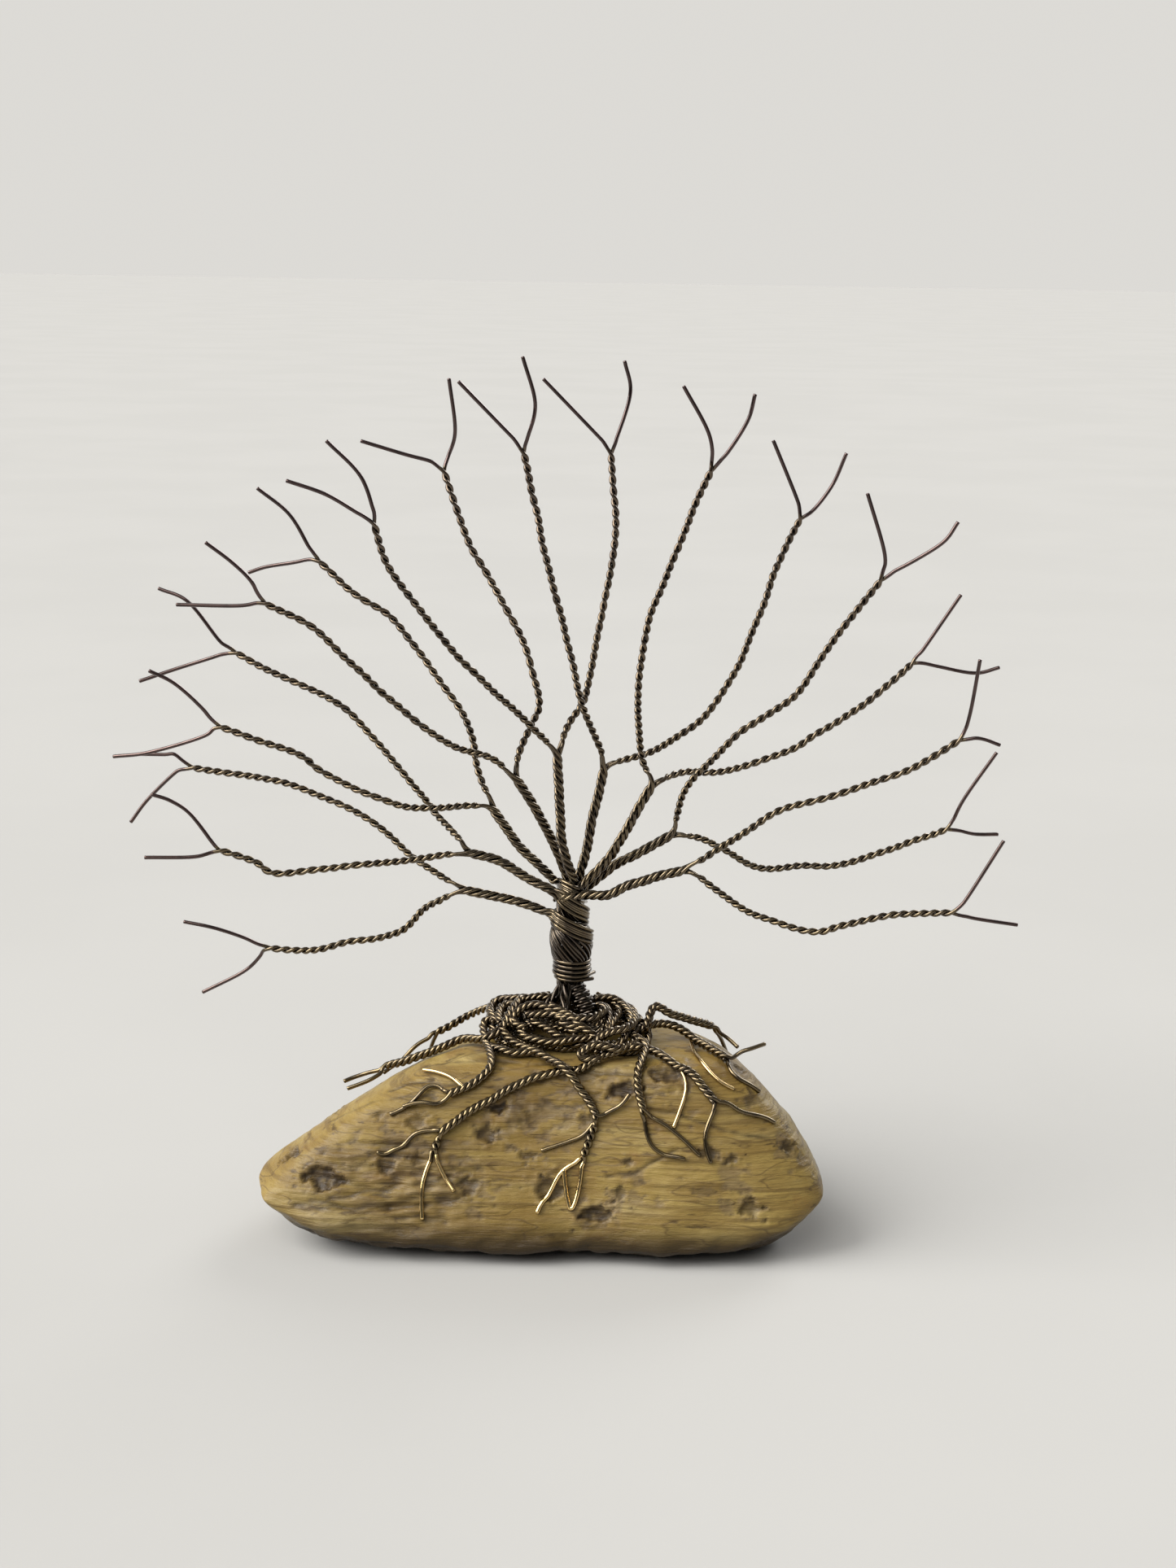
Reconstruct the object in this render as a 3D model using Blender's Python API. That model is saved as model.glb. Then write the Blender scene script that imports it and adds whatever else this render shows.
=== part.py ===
"""A small tree of twisted brass-coloured wire that stands on a rough piece of stone.

Thirty-six wires run from the tips of the crown to the tips of the roots. They are twisted in
twos (a branch), in fours (a limb or a root rope) and all together (the trunk). Each stretch is
one closed solid with the outer size of the twist. Lengths below are millimetres, +Z is up,
+X is to the tree's right, -Y is its front, and the origin lies on the resting face under the trunk.
"""
import math

import bmesh
import bpy
from mathutils import Vector

MM = 0.001

# wire sizes
WIRE = 0.32
PAIR = 0.64
LIMB = 0.95
ROOT = 0.80
COIL = 0.90

# clearances between neighbouring solids
JOIN_GAP = 0.10
STONE_GAP = 0.15

# tessellation
LIMB_SIDES = 8
PAIR_SIDES = 6
ROOT_SIDES = 8
LONG_STEP = 2.2
ROOT_STEP = 1.1
STUB = 1.2
SPAN_POINTS = 12
OUTLINE_POINTS = 8
SHARP_ANGLE = math.radians(50)

# Stone outline at its widest: x, y, height of the rim there.
STONE_OUTLINE = [
    (21.0, -9.5, 5.2), (20.4, -4.0, 5.5), (17.0, 4.0, 5.0), (11.0, 10.0, 4.5),
    (0.0, 12.2, 4.0), (-11.0, 10.5, 4.0), (-20.0, 4.0, 4.5), (-24.6, -4.0, 5.0),
    (-25.6, -9.5, 5.0), (-21.0, -12.0, 2.6), (-12.0, -12.6, 1.4), (0.0, -12.4, 1.3),
    (10.0, -12.6, 1.2), (17.5, -11.9, 2.8),
]
STONE_CENTRE = (-1.0, -2.0)
STONE_CREST = 15.1
STONE_CREST_TILT = 0.04
# at right, back, left and front: where the flat crest ends, how round the fall is, where the foot begins
STONE_SHOULDER = (0.60, 0.35, 0.30, 0.40)
STONE_ROUNDNESS = (1.5, 1.5, 1.6, 1.2)
STONE_FOOT = (0.80, 0.82, 0.78, 0.60)
STONE_UNDER_ROUNDNESS = 1.3
STONE_SLOPE_REACH = 0.05
STONE_SEGMENTS = 36
STONE_TOP_RINGS = (0.30, 0.45, 0.58, 0.70, 0.80, 0.89, 0.96)
STONE_UNDER_RINGS = (0.90, 0.80, 0.60, 0.35)

# Trunk: height, centre x, radius
TRUNK = [
    (15.4, 0.0, 1.90), (17.5, -0.1, 2.00), (18.6, -0.2, 1.50), (19.8, -0.2, 1.10),
    (20.5, 0.0, 1.28), (22.0, -0.05, 1.30), (22.7, -0.1, 1.70), (24.0, -0.15, 1.75),
    (25.0, -0.25, 1.40), (25.4, -0.3, 1.05), (27.2, -0.35, 1.05), (28.0, -0.35, 0.90),
    (28.6, -0.2, 0.80),
]
TRUNK_SIDES = 14

# Limbs from the trunk to the fork
LIMBS = {
    1: [(-2, -0.5, 26), (-4.5, -0.5, 27), (-7, -0.5, 27.5), (-9.5, -0.5, 28)],
    2: [(-1.5, -1, 28), (-3.5, -1, 29), (-6, -1, 30.5), (-9, -1.5, 31.5)],
    3: [(-1.5, 0.5, 28.5), (-3, 0.5, 30), (-4.5, 0.5, 31.5), (-7, 0.5, 35)],
    4: [(-0.5, 0.5, 29), (-2, 0, 32.5), (-3, -0.5, 34.5), (-5, -1, 38)],
    5: [(0, -0.5, 29), (-0.5, -1, 30.5), (-1, -1, 33), (-1.5, -1, 40)],
    6: [(0.5, 0.5, 29), (1, 0.5, 31), (1.5, 0.5, 34), (2.5, 0.5, 38.5)],
    7: [(1.2, -0.4, 29), (3, -0.5, 31), (4, -1, 33), (6.5, -1, 37.5)],
    8: [(1.5, 0.6, 28.3), (3.5, 0.5, 30), (5, 0, 31), (8.5, 0, 33)],
    9: [(1, -1, 27.8), (3, -1.5, 28), (5, -1.5, 29), (9.5, -2, 30.5)],
}

# Branches: limb, route beyond the limb's fork, then the two single wires beyond the branch's end
BRANCHES = {
    1: (1, [(-11, -0.5, 27), (-12.5, 0, 26), (-14.5, 0, 24), (-18.5, 0.5, 23), (-22, 1, 22),
            (-26, 1.5, 22)],
        [(-27.5, 1, 23), (-30, 0.5, 24), (-32.5, 0.5, 24.5)],
        [(-26.5, 2, 21), (-28, 2.5, 19.5), (-31.5, 3, 17.5)]),
    2: (2, [(-12.5, -2, 31), (-18, -3, 30.5), (-22, -3, 30), (-24.5, -3.5, 30), (-26, -3.5, 31),
            (-29, -4, 32)],
        [(-29.5, -4, 33), (-31, -4, 35), (-32.5, -4, 36), (-34, -4, 36.5)],
        [(-30.5, -4.5, 31.5), (-34.5, -5, 31.5)]),
    3: (1, [(-11, 0, 29), (-13.5, 0.5, 30.5), (-16.5, 1, 33), (-19.5, 1.5, 34.5), (-24, 2.5, 36),
            (-28, 3.5, 36.5), (-32.5, 4, 37)],
        [(-33.5, 4, 38), (-34.5, 4, 38), (-36.5, 4, 38)],
        [(-33.5, 4, 36.5), (-36, 4.5, 34), (-37.5, 4.5, 32)]),
    4: (3, [(-9, 0, 35), (-11.5, -1, 35), (-15, -1.5, 35.5), (-20.5, -1.5, 38), (-22.5, -2, 39.5),
            (-29, -2.5, 42)],
        [(-30, -3, 43.5), (-32, -3.5, 45.5), (-34, -3.5, 46.5)],
        [(-30, -2.5, 41), (-34.5, -2, 39.5), (-37.5, -1.5, 39)]),
    5: (2, [(-9.5, -1, 32.5), (-11.5, 1, 34), (-13, 1, 36), (-18, 2, 41.5), (-20.5, 2, 43.5),
            (-24, 2.5, 45), (-28.5, 3, 47)],
        [(-29.5, 3, 48), (-32, 3.5, 51), (-34.5, 4, 52)],
        [(-30, 3, 46.5), (-33, 3, 45.5), (-36, 2.5, 44.5)]),
    6: (4, [(-7, -1.5, 39.5), (-10, -2, 40.5), (-13.5, -2.5, 43), (-17.5, -3.5, 47),
            (-20.5, -4, 50), (-25, -4.5, 52.5)],
        [(-25.5, -5, 54), (-27, -5, 55.5), (-29, -5, 57)],
        [(-26.5, -4.5, 52), (-31.5, -4.5, 52)]),
    7: (3, [(-8, 1, 38), (-8.5, 1, 40.5), (-9.5, 1, 43), (-11.5, 1.5, 45.5), (-15, 2, 50),
            (-18, 2, 52), (-21.5, 2.5, 55)],
        [(-22, 2.5, 56), (-23.5, 2.5, 58.5), (-26, 2.5, 60.5)],
        [(-23, 3, 54.5), (-25.5, 3.5, 54), (-27, 3.5, 53.5)]),
    8: (5, [(-3, -1.5, 41.5), (-5, -2, 43.5), (-9.5, -3, 48), (-12.5, -4, 52), (-15, -4.5, 55.5),
            (-16, -5, 59)],
        [(-16, -5, 60), (-17, -5, 62.5), (-19.5, -5, 65)],
        [(-17, -5.5, 59.5), (-19.5, -6, 61), (-22.5, -6, 62)]),
    9: (4, [(-4.5, -0.5, 40), (-3.5, 0, 42), (-3, 0, 43.5), (-3.5, 0, 46), (-5, 0.5, 50),
            (-8.5, 1, 56), (-10, 1, 60), (-11, 1.5, 62.5)],
        [(-12, 1.5, 63), (-14, 1.5, 63.5), (-17.5, 1.5, 64.5)],
        [(-10.5, 2, 63.5), (-10, 2, 65.5), (-10.5, 2, 69.5)]),
    10: (6, [(2, 0, 40), (0.5, -1, 44), (-1, -1, 50), (-2.5, -1.5, 55.5), (-3.5, -1.5, 60),
             (-4.5, -2, 64.5)],
         [(-6, -2, 66), (-9.5, -2, 69.5)],
         [(-4, -2.5, 65.5), (-3.5, -2.5, 68), (-4.5, -2.5, 71.5)]),
    11: (5, [(-0.5, 0, 42), (0.5, 0.5, 43.5), (1, 1, 45), (2, 2, 51), (3, 2.5, 57),
             (2.5, 3.5, 64)],
         [(1.5, 3.5, 65), (-3, 3.5, 69.5)],
         [(3, 3.5, 65), (4, 4, 68.5), (3.5, 4, 71)]),
    12: (7, [(5.5, -1, 39.5), (5, -1.5, 44.5), (5.5, -2, 50), (7, -2.5, 54.5), (8.5, -3, 58.5),
             (10.5, -3.5, 63.5)],
         [(10, -3.5, 66), (8, -3.5, 69.5)],
         [(11.5, -4, 64.5), (13, -4, 67), (13.5, -4, 69)]),
    13: (6, [(4.5, 1, 39), (7, 1, 40), (10.5, 1, 42.5), (13, 1.5, 46.5), (15, 1.5, 51.5),
             (16.5, 2, 56), (18, 2, 59)],
         [(17.5, 2, 60.5), (15.5, 2, 65)],
         [(19, 2.5, 59.5), (20.5, 3, 61.5), (21.5, 3, 64)]),
    14: (8, [(8.5, -0.5, 35), (9.5, -1, 37.5), (13.5, -2, 42), (17.5, -2.5, 45), (20, -3, 49),
             (24, -4, 55)],
         [(24, -4, 57), (22.5, -4, 61.5)],
         [(26.5, -4.5, 56.5), (28.5, -5, 58), (29.5, -5, 59.5)]),
    15: (7, [(9, 0.5, 38), (12, 1, 38), (17.5, 2, 39.5), (20, 2.5, 41), (24, 3, 43.5),
             (28, 4, 47)],
         [(29, 4, 48.5), (31.5, 4, 52.5)],
         [(30, 4, 46.5), (33, 4, 46), (35, 4, 46.5)]),
    16: (9, [(11.5, -2, 32), (14.5, -2, 34), (17, -1.5, 35.5), (22, -1.5, 37), (27.5, -1, 39),
             (31.5, -1, 41.5)],
         [(32, -1, 44), (32.5, -1, 48)],
         [(33, -1, 41.5), (34.5, -1, 41)]),
    17: (8, [(10.5, 0, 32.5), (12.5, 0, 31.5), (15.5, 0.5, 30), (19, 1, 30), (22, 1.5, 30),
             (27, 2, 31.5), (31.5, 3, 33)],
         [(32.5, 3, 35.5), (35, 3, 39.5)],
         [(33.5, 3, 32.5), (35.5, 3, 32.5)]),
    18: (9, [(11.5, -2.5, 29), (15, -3.5, 27), (19.5, -4.5, 26), (22, -4.5, 26.5),
             (26, -4.5, 27.5), (31, -5, 28)],
         [(32, -5, 29.5), (34.5, -5, 34)],
         [(32.5, -5, 27.5), (36, -5, 27)]),
}

# Roots: points are x, y and the height above resting on the stone. Each entry is the rope and
# what it splits into: a wire is a plain list, a twisted pair is (route, wire, wire).
ROOTS = {
    "root_01_left_back": (
        [(-7, 2.5, 1.9), (-8.5, 3, 1.9), (-11, 3, 1.5)],
        [(-12.5, 2.5, 1.5), (-14, 2, 0.9)],
        [(-12, 4.5, 0.8), (-13, 6.5, 0.2)]),
    "root_02_left": (
        [(-7.7, -2.8, 0.3), (-9, -1.8, 0.3), (-11, -2, 0.1), (-13, -1.5, 0.3), (-14.7, -1, 0.8)],
        [(-15.7, -0.5, 1.4), (-16.8, -0.5, 1.8), (-18, -0.9, 2.1)],
        [(-15.7, -2.1, 0.8), (-17, -2.5, 1.1), (-18, -2.8, 1.3)]),
    "root_03_left_front": (
        [(-6.5, -5.2, 0.1), (-6.6, -6.2, 0), (-7.5, -7, 0), (-8.6, -7.5, 0), (-9.9, -7.8, 0)],
        [(-11.5, -7.2, 0.2), (-13, -7.5, 0), (-14.5, -8, 0)],
        [(-11, -8.4, 0.1), (-12.5, -8.6, 0), (-14, -9, 0)]),
    "root_04_front_left": (
        [(1.5, -6.5, 0), (0, -6.7, 0), (-2, -6.9, 0), (-5.5, -7.7, 0), (-9, -8.8, 0),
         (-10.4, -9.4, 0)],
        [(-12.5, -9.6, 0), (-14.3, -9.8, 0), (-15.6, -10.2, 0)],
        ([(-10.8, -10.2, 0)],
         [(-11.6, -10.8, 0), (-11.9, -11.3, 0), (-11.7, -11.8, 0)],
         [(-10.1, -10.8, 0), (-9.4, -11.3, 0)])),
    "root_05_front": (
        [(-1.8, -6.1, 1.1), (-0.5, -6.7, 1.0), (0.4, -7.4, 0.5), (1.2, -8, 0.1), (1.9, -8.6, 0),
         (2.3, -9.1, 0)],
        [(3.4, -9, 0.3), (4.4, -8.9, 0.3), (4.6, -8.4, 0.3)],
        ([(1.5, -10, 0)],
         [(0.1, -10.3, 0), (-1.4, -10.8, 0), (-2.3, -11.3, 0), (-2.7, -11.8, 0)],
         [(1.2, -10.9, 0), (0.7, -11.4, 0), (0.2, -11.9, 0)])),
    "root_06_front_right": (
        [(5.5, -7, 0), (5.5, -8, 0), (5.8, -8.7, 0), (6, -9.4, 0)],
        [(6.2, -10.3, 0), (7.4, -10.8, 0), (9, -11.2, 0)],
        [(7.1, -9.6, 0), (8.3, -9.8, 0), (9.8, -10.5, 0)]),
    "root_07_right_front": (
        [(4.3, -6, 0), (6.3, -5.8, 0), (7.9, -7, 0), (9.5, -8, 0), (10.4, -8.5, 0), (11.9, -9.2, 0)],
        [(13.2, -9.1, 0), (14.7, -9.1, 0), (16.4, -8.8, 0)],
        [(11.6, -10.1, 0), (11.2, -10.6, 0), (11.5, -11.2, 0)]),
    "root_08_right": (
        [(7.6, -1.9, 0.5), (8.9, -2, 0.5), (9.8, -2.6, 0.3), (10.5, -3.3, 0.1), (11.6, -4.8, 0),
         (12.8, -6, 0)],
        [(13.6, -5.4, 0.7), (14.4, -5, 1.4), (15.4, -4.8, 1.9)],
        [(12.9, -6.8, 0), (13.2, -7.3, 0), (14, -7.5, 0), (15.3, -7.3, 0)]),
    "root_09_right_back": (
        [(7.7, -2, 2.5), (8.3, -2, 2.1), (9.5, -1.6, 1.7), (10.8, -1.1, 1.4), (12, -0.4, 1.2)],
        [(12.9, -0.4, 1.3), (13.8, -0.7, 1.5), (14.6, -1, 1.7)],
        [(12.6, 0.6, 0.6), (13.5, 2, 0)]),
    "root_10_back_right": (
        [(3, 5.2, 0), (4.5, 6.5, 0), (5, 8, 0)],
        [(6, 9.2, 0), (7, 10, 0)],
        [(4.2, 9.5, 0), (3.8, 10.6, 0)]),
    "root_11_back_left": (
        [(-3, 5.3, 0), (-3.7, 6.5, 0), (-5, 7.5, 0)],
        [(-6.5, 8.2, 0), (-8, 8.4, 0)],
        [(-5, 9, 0), (-4.5, 10.3, 0)]),
}

# Single wires that leave a root rope part-way
SIDE_WIRES = {
    "side_wire_03": [(-9, -6.8, 0.1), (-10.5, -5.3, 0.1), (-12, -3.6, 0.1)],
    "side_wire_05": [(1, -9.2, 0), (-0.6, -9.4, 0), (-2.2, -9.6, 0)],
    "side_wire_07": [(9.6, -8.9, 0), (9.3, -9.2, 0), (8.9, -9.5, 0)],
    "side_wire_08": [(9.9, -3.8, 0.1), (10.2, -5.3, 0), (10.8, -7, 0), (11.8, -7.9, 0),
                     (13, -8.2, 0)],
}

# Rope coils round the trunk's foot: centre x, centre y, half width, half depth, height above the
# stone, first angle and turn in degrees
COILS = {
    "coil_01_outer_low": (0.0, -0.8, 6.3, 4.9, 0.0, 100, 345),
    "coil_02_inner_low": (0.0, -0.8, 5.2, 3.8, 0.0, -60, 345),
    "coil_03_outer_high": (0.0, -0.8, 5.75, 4.35, 0.85, 30, 345),
    "coil_04_inner_high": (0.0, -0.5, 4.3, 3.0, 1.0, 200, 345),
    "coil_05_left_loop": (-4.3, -0.8, 1.5, 2.0, 1.95, -40, 330),
    "coil_06_right_loop": (4.4, -0.8, 1.5, 2.2, 1.95, 150, 330),
}
COIL_STEP_DEGREES = 15

# Binding wires: trunk centre x, radius of the wire's centre line, lowest height, pitch, turns
BINDINGS = {
    "binding_lower": (-0.02, 1.52, 20.6, 0.42, 3.25),
    "binding_upper": (-0.33, 1.28, 25.5, 0.42, 3.75),
}
BINDING_STEPS = 12
BINDING_SIDES = 5


def remove_startup_objects():
    for item in list(bpy.data.objects):
        bpy.data.objects.remove(item, do_unlink=True)


# ---------- curves ----------

def blend(a, b, c, d, t):
    """Catmull-Rom point between b and c."""
    return 0.5 * (2 * b + (c - a) * t + (2 * a - 5 * b + 4 * c - d) * t * t
                  + (3 * b - a - 3 * c + d) * t ** 3)


def smooth_curve(points):
    """A smooth curve through all the points, as a dense list of vectors."""
    knots = [Vector(p) for p in points]
    ends = [2 * knots[0] - knots[1]] + knots + [2 * knots[-1] - knots[-2]]
    curve = []
    for i in range(1, len(ends) - 2):
        for k in range(SPAN_POINTS):
            curve.append(blend(*ends[i - 1:i + 3], k / SPAN_POINTS))
    curve.append(knots[-1])
    return curve


def lengths(curve):
    total = [0.0]
    for a, b in zip(curve, curve[1:]):
        total.append(total[-1] + (b - a).length)
    return total


def stretch(curve, start, end, step):
    """Evenly spaced points of the curve between two lengths along it."""
    along = lengths(curve)
    count = max(1, round((end - start) / step))
    result = []
    i = 0
    for k in range(count + 1):
        s = start + (end - start) * k / count
        while i < len(along) - 2 and along[i + 1] < s:
            i += 1
        span = along[i + 1] - along[i]
        result.append(curve[i].lerp(curve[i + 1], (s - along[i]) / span))
    return result


# ---------- stone ----------

def outline_curve():
    knots = [Vector(p) for p in STONE_OUTLINE]
    count = len(knots)
    curve = []
    for i in range(count):
        around = [knots[(i + k) % count] for k in (-1, 0, 1, 2)]
        curve += [blend(*around, k / OUTLINE_POINTS) for k in range(OUTLINE_POINTS)]
    return curve


STONE_CURVE = outline_curve()


def rim(angle):
    """Distance from the centre to the stone's rim in one direction, and the rim's height."""
    way = Vector((math.cos(angle), math.sin(angle)))
    for p, q in zip(STONE_CURVE, STONE_CURVE[1:] + STONE_CURVE[:1]):
        a = p.xy - Vector(STONE_CENTRE)
        b = q.xy - Vector(STONE_CENTRE)
        left = way.cross(a)
        right = way.cross(b)
        if left <= 0 < right and a.dot(way) + b.dot(way) > 0:
            t = left / (left - right)
            return a.lerp(b, t).length, p.z + (q.z - p.z) * t
    raise ValueError("the outline doesn't go round the centre")


def by_side(values, angle):
    """Blends four values, given at right, back, left and front, round the stone."""
    quarter = (angle / (math.pi / 2)) % 4
    first = int(quarter)
    t = (1 - math.cos(math.pi * (quarter - first))) / 2
    return values[first] * (1 - t) + values[(first + 1) % 4] * t


def crest(x):
    return STONE_CREST + STONE_CREST_TILT * x


def stone_top(x, y):
    """Height of the stone's upper surface."""
    dx = x - STONE_CENTRE[0]
    dy = y - STONE_CENTRE[1]
    angle = math.atan2(dy, dx)
    reach, rim_height = rim(angle)
    shoulder = by_side(STONE_SHOULDER, angle)
    fall = max(0.0, (math.hypot(dx, dy) / reach - shoulder) / (1 - shoulder))
    return crest(x) - (crest(x) - rim_height) * fall ** by_side(STONE_ROUNDNESS, angle)


def above_stone(x, y, clearance):
    """The point at a given distance from the stone's upper surface, out from x, y."""
    e = STONE_SLOPE_REACH
    slope_x = (stone_top(x + e, y) - stone_top(x - e, y)) / (2 * e)
    slope_y = (stone_top(x, y + e) - stone_top(x, y - e)) / (2 * e)
    normal = Vector((-slope_x, -slope_y, 1)).normalized()
    return Vector((x, y, stone_top(x, y))) + normal * clearance


def stone_ring(bm, fraction, height_of):
    ring = []
    for k in range(STONE_SEGMENTS):
        angle = 2 * math.pi * k / STONE_SEGMENTS
        reach, rim_height = rim(angle)
        x = STONE_CENTRE[0] + fraction * reach * math.cos(angle)
        y = STONE_CENTRE[1] + fraction * reach * math.sin(angle)
        ring.append(bm.verts.new(Vector((x, y, height_of(x, y, angle, rim_height))) * MM))
    return ring


def under_height(fraction, angle, rim_height):
    foot = by_side(STONE_FOOT, angle)
    rise = max(0.0, (fraction - foot) / (1 - foot))
    return rim_height * rise ** STONE_UNDER_ROUNDNESS


def make_stone():
    bm = bmesh.new()
    rings = []
    for fraction in STONE_TOP_RINGS:
        rings.append(stone_ring(bm, fraction, lambda x, y, angle, height: stone_top(x, y)))
    rings.append(stone_ring(bm, 1.0, lambda x, y, angle, height: height))
    for fraction in STONE_UNDER_RINGS:
        rings.append(stone_ring(
            bm, fraction, lambda x, y, angle, height: under_height(fraction, angle, height)))
    for a, b in zip(rings, rings[1:]):
        bridge(bm, a, b)
    centre = Vector((*STONE_CENTRE, 0)) * MM
    top = bm.verts.new(centre + Vector((0, 0, crest(STONE_CENTRE[0]) * MM)))
    fan(bm, rings[0], top)
    fan(bm, rings[-1], bm.verts.new(centre))
    return finish(bm, "stone_base", "stone")


# ---------- tubes ----------

def bridge(bm, a, b):
    for k in range(len(a)):
        n = (k + 1) % len(a)
        bm.faces.new((a[k], a[n], b[n], b[k]))


def fan(bm, ring, centre):
    for k in range(len(ring)):
        bm.faces.new((ring[k], ring[(k + 1) % len(ring)], centre))


def ring_at(bm, centre, side, over, radius, angles):
    return [bm.verts.new((centre + radius * (math.cos(t) * side + math.sin(t) * over)) * MM)
            for t in angles]


def tangents(path):
    result = []
    for i in range(len(path)):
        ahead = path[min(i + 1, len(path) - 1)]
        behind = path[max(i - 1, 0)]
        result.append((ahead - behind).normalized())
    return result


def carry(side, way):
    """The side direction turned as little as possible so that it is square to the way."""
    return (side - side.dot(way) * way).normalized()


def fork_axis(first, second):
    return (first[1] - first[0]).cross(second[1] - second[0]).normalized()


def grow(bm, ring, angles, side, tube):
    """Adds a tube on a ring that is there already, and the two tubes that it forks into."""
    path, radius, forks = tube
    ways = tangents(path)
    sides = [carry(side, ways[0])]
    for way in ways[1:]:
        sides.append(carry(sides[-1], way))
    overs = [way.cross(s) for way, s in zip(ways, sides)]
    turn = 0.0
    if forks:
        axis = carry(fork_axis(forks[0][0], forks[1][0]), ways[-1])
        wanted = math.atan2(axis.dot(overs[-1]), axis.dot(sides[-1]))
        turns = [(wanted - t + math.pi) % (2 * math.pi) - math.pi for t in angles]
        first = min(range(len(angles)), key=lambda k: abs(turns[k]))
        turn = turns[first]
    for i in range(1, len(path)):
        now = [t + turn * i / (len(path) - 1) for t in angles]
        further = ring_at(bm, path[i], sides[i], overs[i], radius, now)
        bridge(bm, ring, further)
        ring = further
    if not forks:
        fan(bm, ring, bm.verts.new(path[-1] * MM))
        return
    half = len(ring) // 2
    middle = bm.verts.new(path[-1] * MM)
    ordered = ring[first:] + ring[:first]
    across = ways[-1].cross(axis)
    for k, loop in enumerate((ordered[:half + 1], ordered[half:] + ordered[:1])):
        loop = loop + [middle]
        sign = 1 if k == 0 else -1
        child = min(forks, key=lambda f: -sign * (f[0][1] - f[0][0]).normalized().dot(across))
        spread = [math.radians(270 + 360 * (j + 1) / len(loop)) for j in range(len(loop))]
        start_side = carry(axis * sign, tangents(child[0])[0])
        grow(bm, loop, spread, start_side, child)


def make_tube(name, sides_count, tube, material):
    """One closed solid: a tube with flat ends, which may fork into two, and those again."""
    bm = bmesh.new()
    path, radius, _ = tube
    way = (path[1] - path[0]).normalized()
    side = carry(Vector((0, 1, 0)) if abs(way.y) < 0.9 else Vector((0, 0, 1)), way)
    angles = [2 * math.pi * k / sides_count for k in range(sides_count)]
    ring = ring_at(bm, path[0], side, way.cross(side), radius, angles)
    fan(bm, ring, bm.verts.new(path[0] * MM))
    grow(bm, ring, angles, side, tube)
    return finish(bm, name, material)


# ---------- materials and objects ----------

MATERIALS = {
    "stone": ((0.45, 0.32, 0.14, 1), 0.0, 0.45),
    "wire_brown": ((0.16, 0.10, 0.06, 1), 1.0, 0.35),
    "wire_brass": ((0.35, 0.24, 0.11, 1), 1.0, 0.35),
}


def make_material(name):
    colour, metallic, roughness = MATERIALS[name.split(".")[0]]
    material = bpy.data.materials.new(name)
    material.use_nodes = True
    shader = material.node_tree.nodes["Principled BSDF"]
    shader.inputs["Base Color"].default_value = colour
    shader.inputs["Metallic"].default_value = metallic
    shader.inputs["Roughness"].default_value = roughness
    return material


def finish(bm, name, material):
    bmesh.ops.recalc_face_normals(bm, faces=bm.faces)
    mesh = bpy.data.meshes.new(name)
    bm.to_mesh(mesh)
    bm.free()
    mesh.shade_smooth()
    mesh.set_sharp_from_angle(angle=SHARP_ANGLE)
    mesh.materials.append(make_material(material + "." + name))
    item = bpy.data.objects.new(name, mesh)
    bpy.context.scene.collection.objects.link(item)
    return item


# ---------- the tree ----------

def make_trunk():
    bm = bmesh.new()
    angles = [2 * math.pi * k / TRUNK_SIDES for k in range(TRUNK_SIDES)]
    rings = []
    for height, x, radius in TRUNK:
        centre = Vector((x, 0, height))
        rings.append(ring_at(bm, centre, Vector((1, 0, 0)), Vector((0, 1, 0)), radius, angles))
    for a, b in zip(rings, rings[1:]):
        bridge(bm, a, b)
    fan(bm, rings[0], bm.verts.new(Vector((TRUNK[0][1], 0, TRUNK[0][0])) * MM))
    fan(bm, rings[-1], bm.verts.new(Vector((TRUNK[-1][1], 0, TRUNK[-1][0])) * MM))
    return finish(bm, "trunk_bundle", "wire_brown")


def make_bindings():
    for name, (x, radius, low, pitch, turns) in BINDINGS.items():
        count = round(turns * BINDING_STEPS)
        path = []
        for k in range(count + 1):
            angle = -2 * math.pi * k / BINDING_STEPS
            height = low + pitch * k / BINDING_STEPS
            path.append(Vector((x + radius * math.cos(angle), radius * math.sin(angle), height)))
        make_tube(name, BINDING_SIDES, (path, WIRE / 2, ()), "wire_brass")


def branch_curve(number):
    limb, route, _, _ = BRANCHES[number]
    return smooth_curve([LIMBS[limb][-1]] + route)


def pair_stub(number):
    return (stretch(branch_curve(number), 0, STUB, STUB), PAIR / 2, ())


def single_wire(start, route, step):
    curve = smooth_curve([start] + route)
    return (stretch(curve, 0, lengths(curve)[-1], step), WIRE / 2, ())


def make_limbs():
    for limb, route in LIMBS.items():
        curve = smooth_curve(route)
        path = stretch(curve, 0, lengths(curve)[-1], LONG_STEP)
        stubs = [pair_stub(number) for number, branch in BRANCHES.items() if branch[0] == limb]
        make_tube(f"limb_{limb:02d}", LIMB_SIDES, (path, LIMB / 2, stubs), "wire_brown")


def make_branches():
    for number, (_, route, first_tip, second_tip) in BRANCHES.items():
        curve = branch_curve(number)
        path = stretch(curve, STUB + JOIN_GAP, lengths(curve)[-1], LONG_STEP)
        tips = [single_wire(route[-1], tip, LONG_STEP) for tip in (first_tip, second_tip)]
        make_tube(f"branch_{number:02d}", PAIR_SIDES, (path, PAIR / 2, tips), "wire_brown")


def on_stone(route, radius, step):
    """A path that follows the stone, from points of x, y and height above resting on it."""
    curve = smooth_curve(route)
    path = stretch(curve, 0, lengths(curve)[-1], step)
    return [above_stone(p.x, p.y, radius + STONE_GAP + p.z) for p in path]


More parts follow.
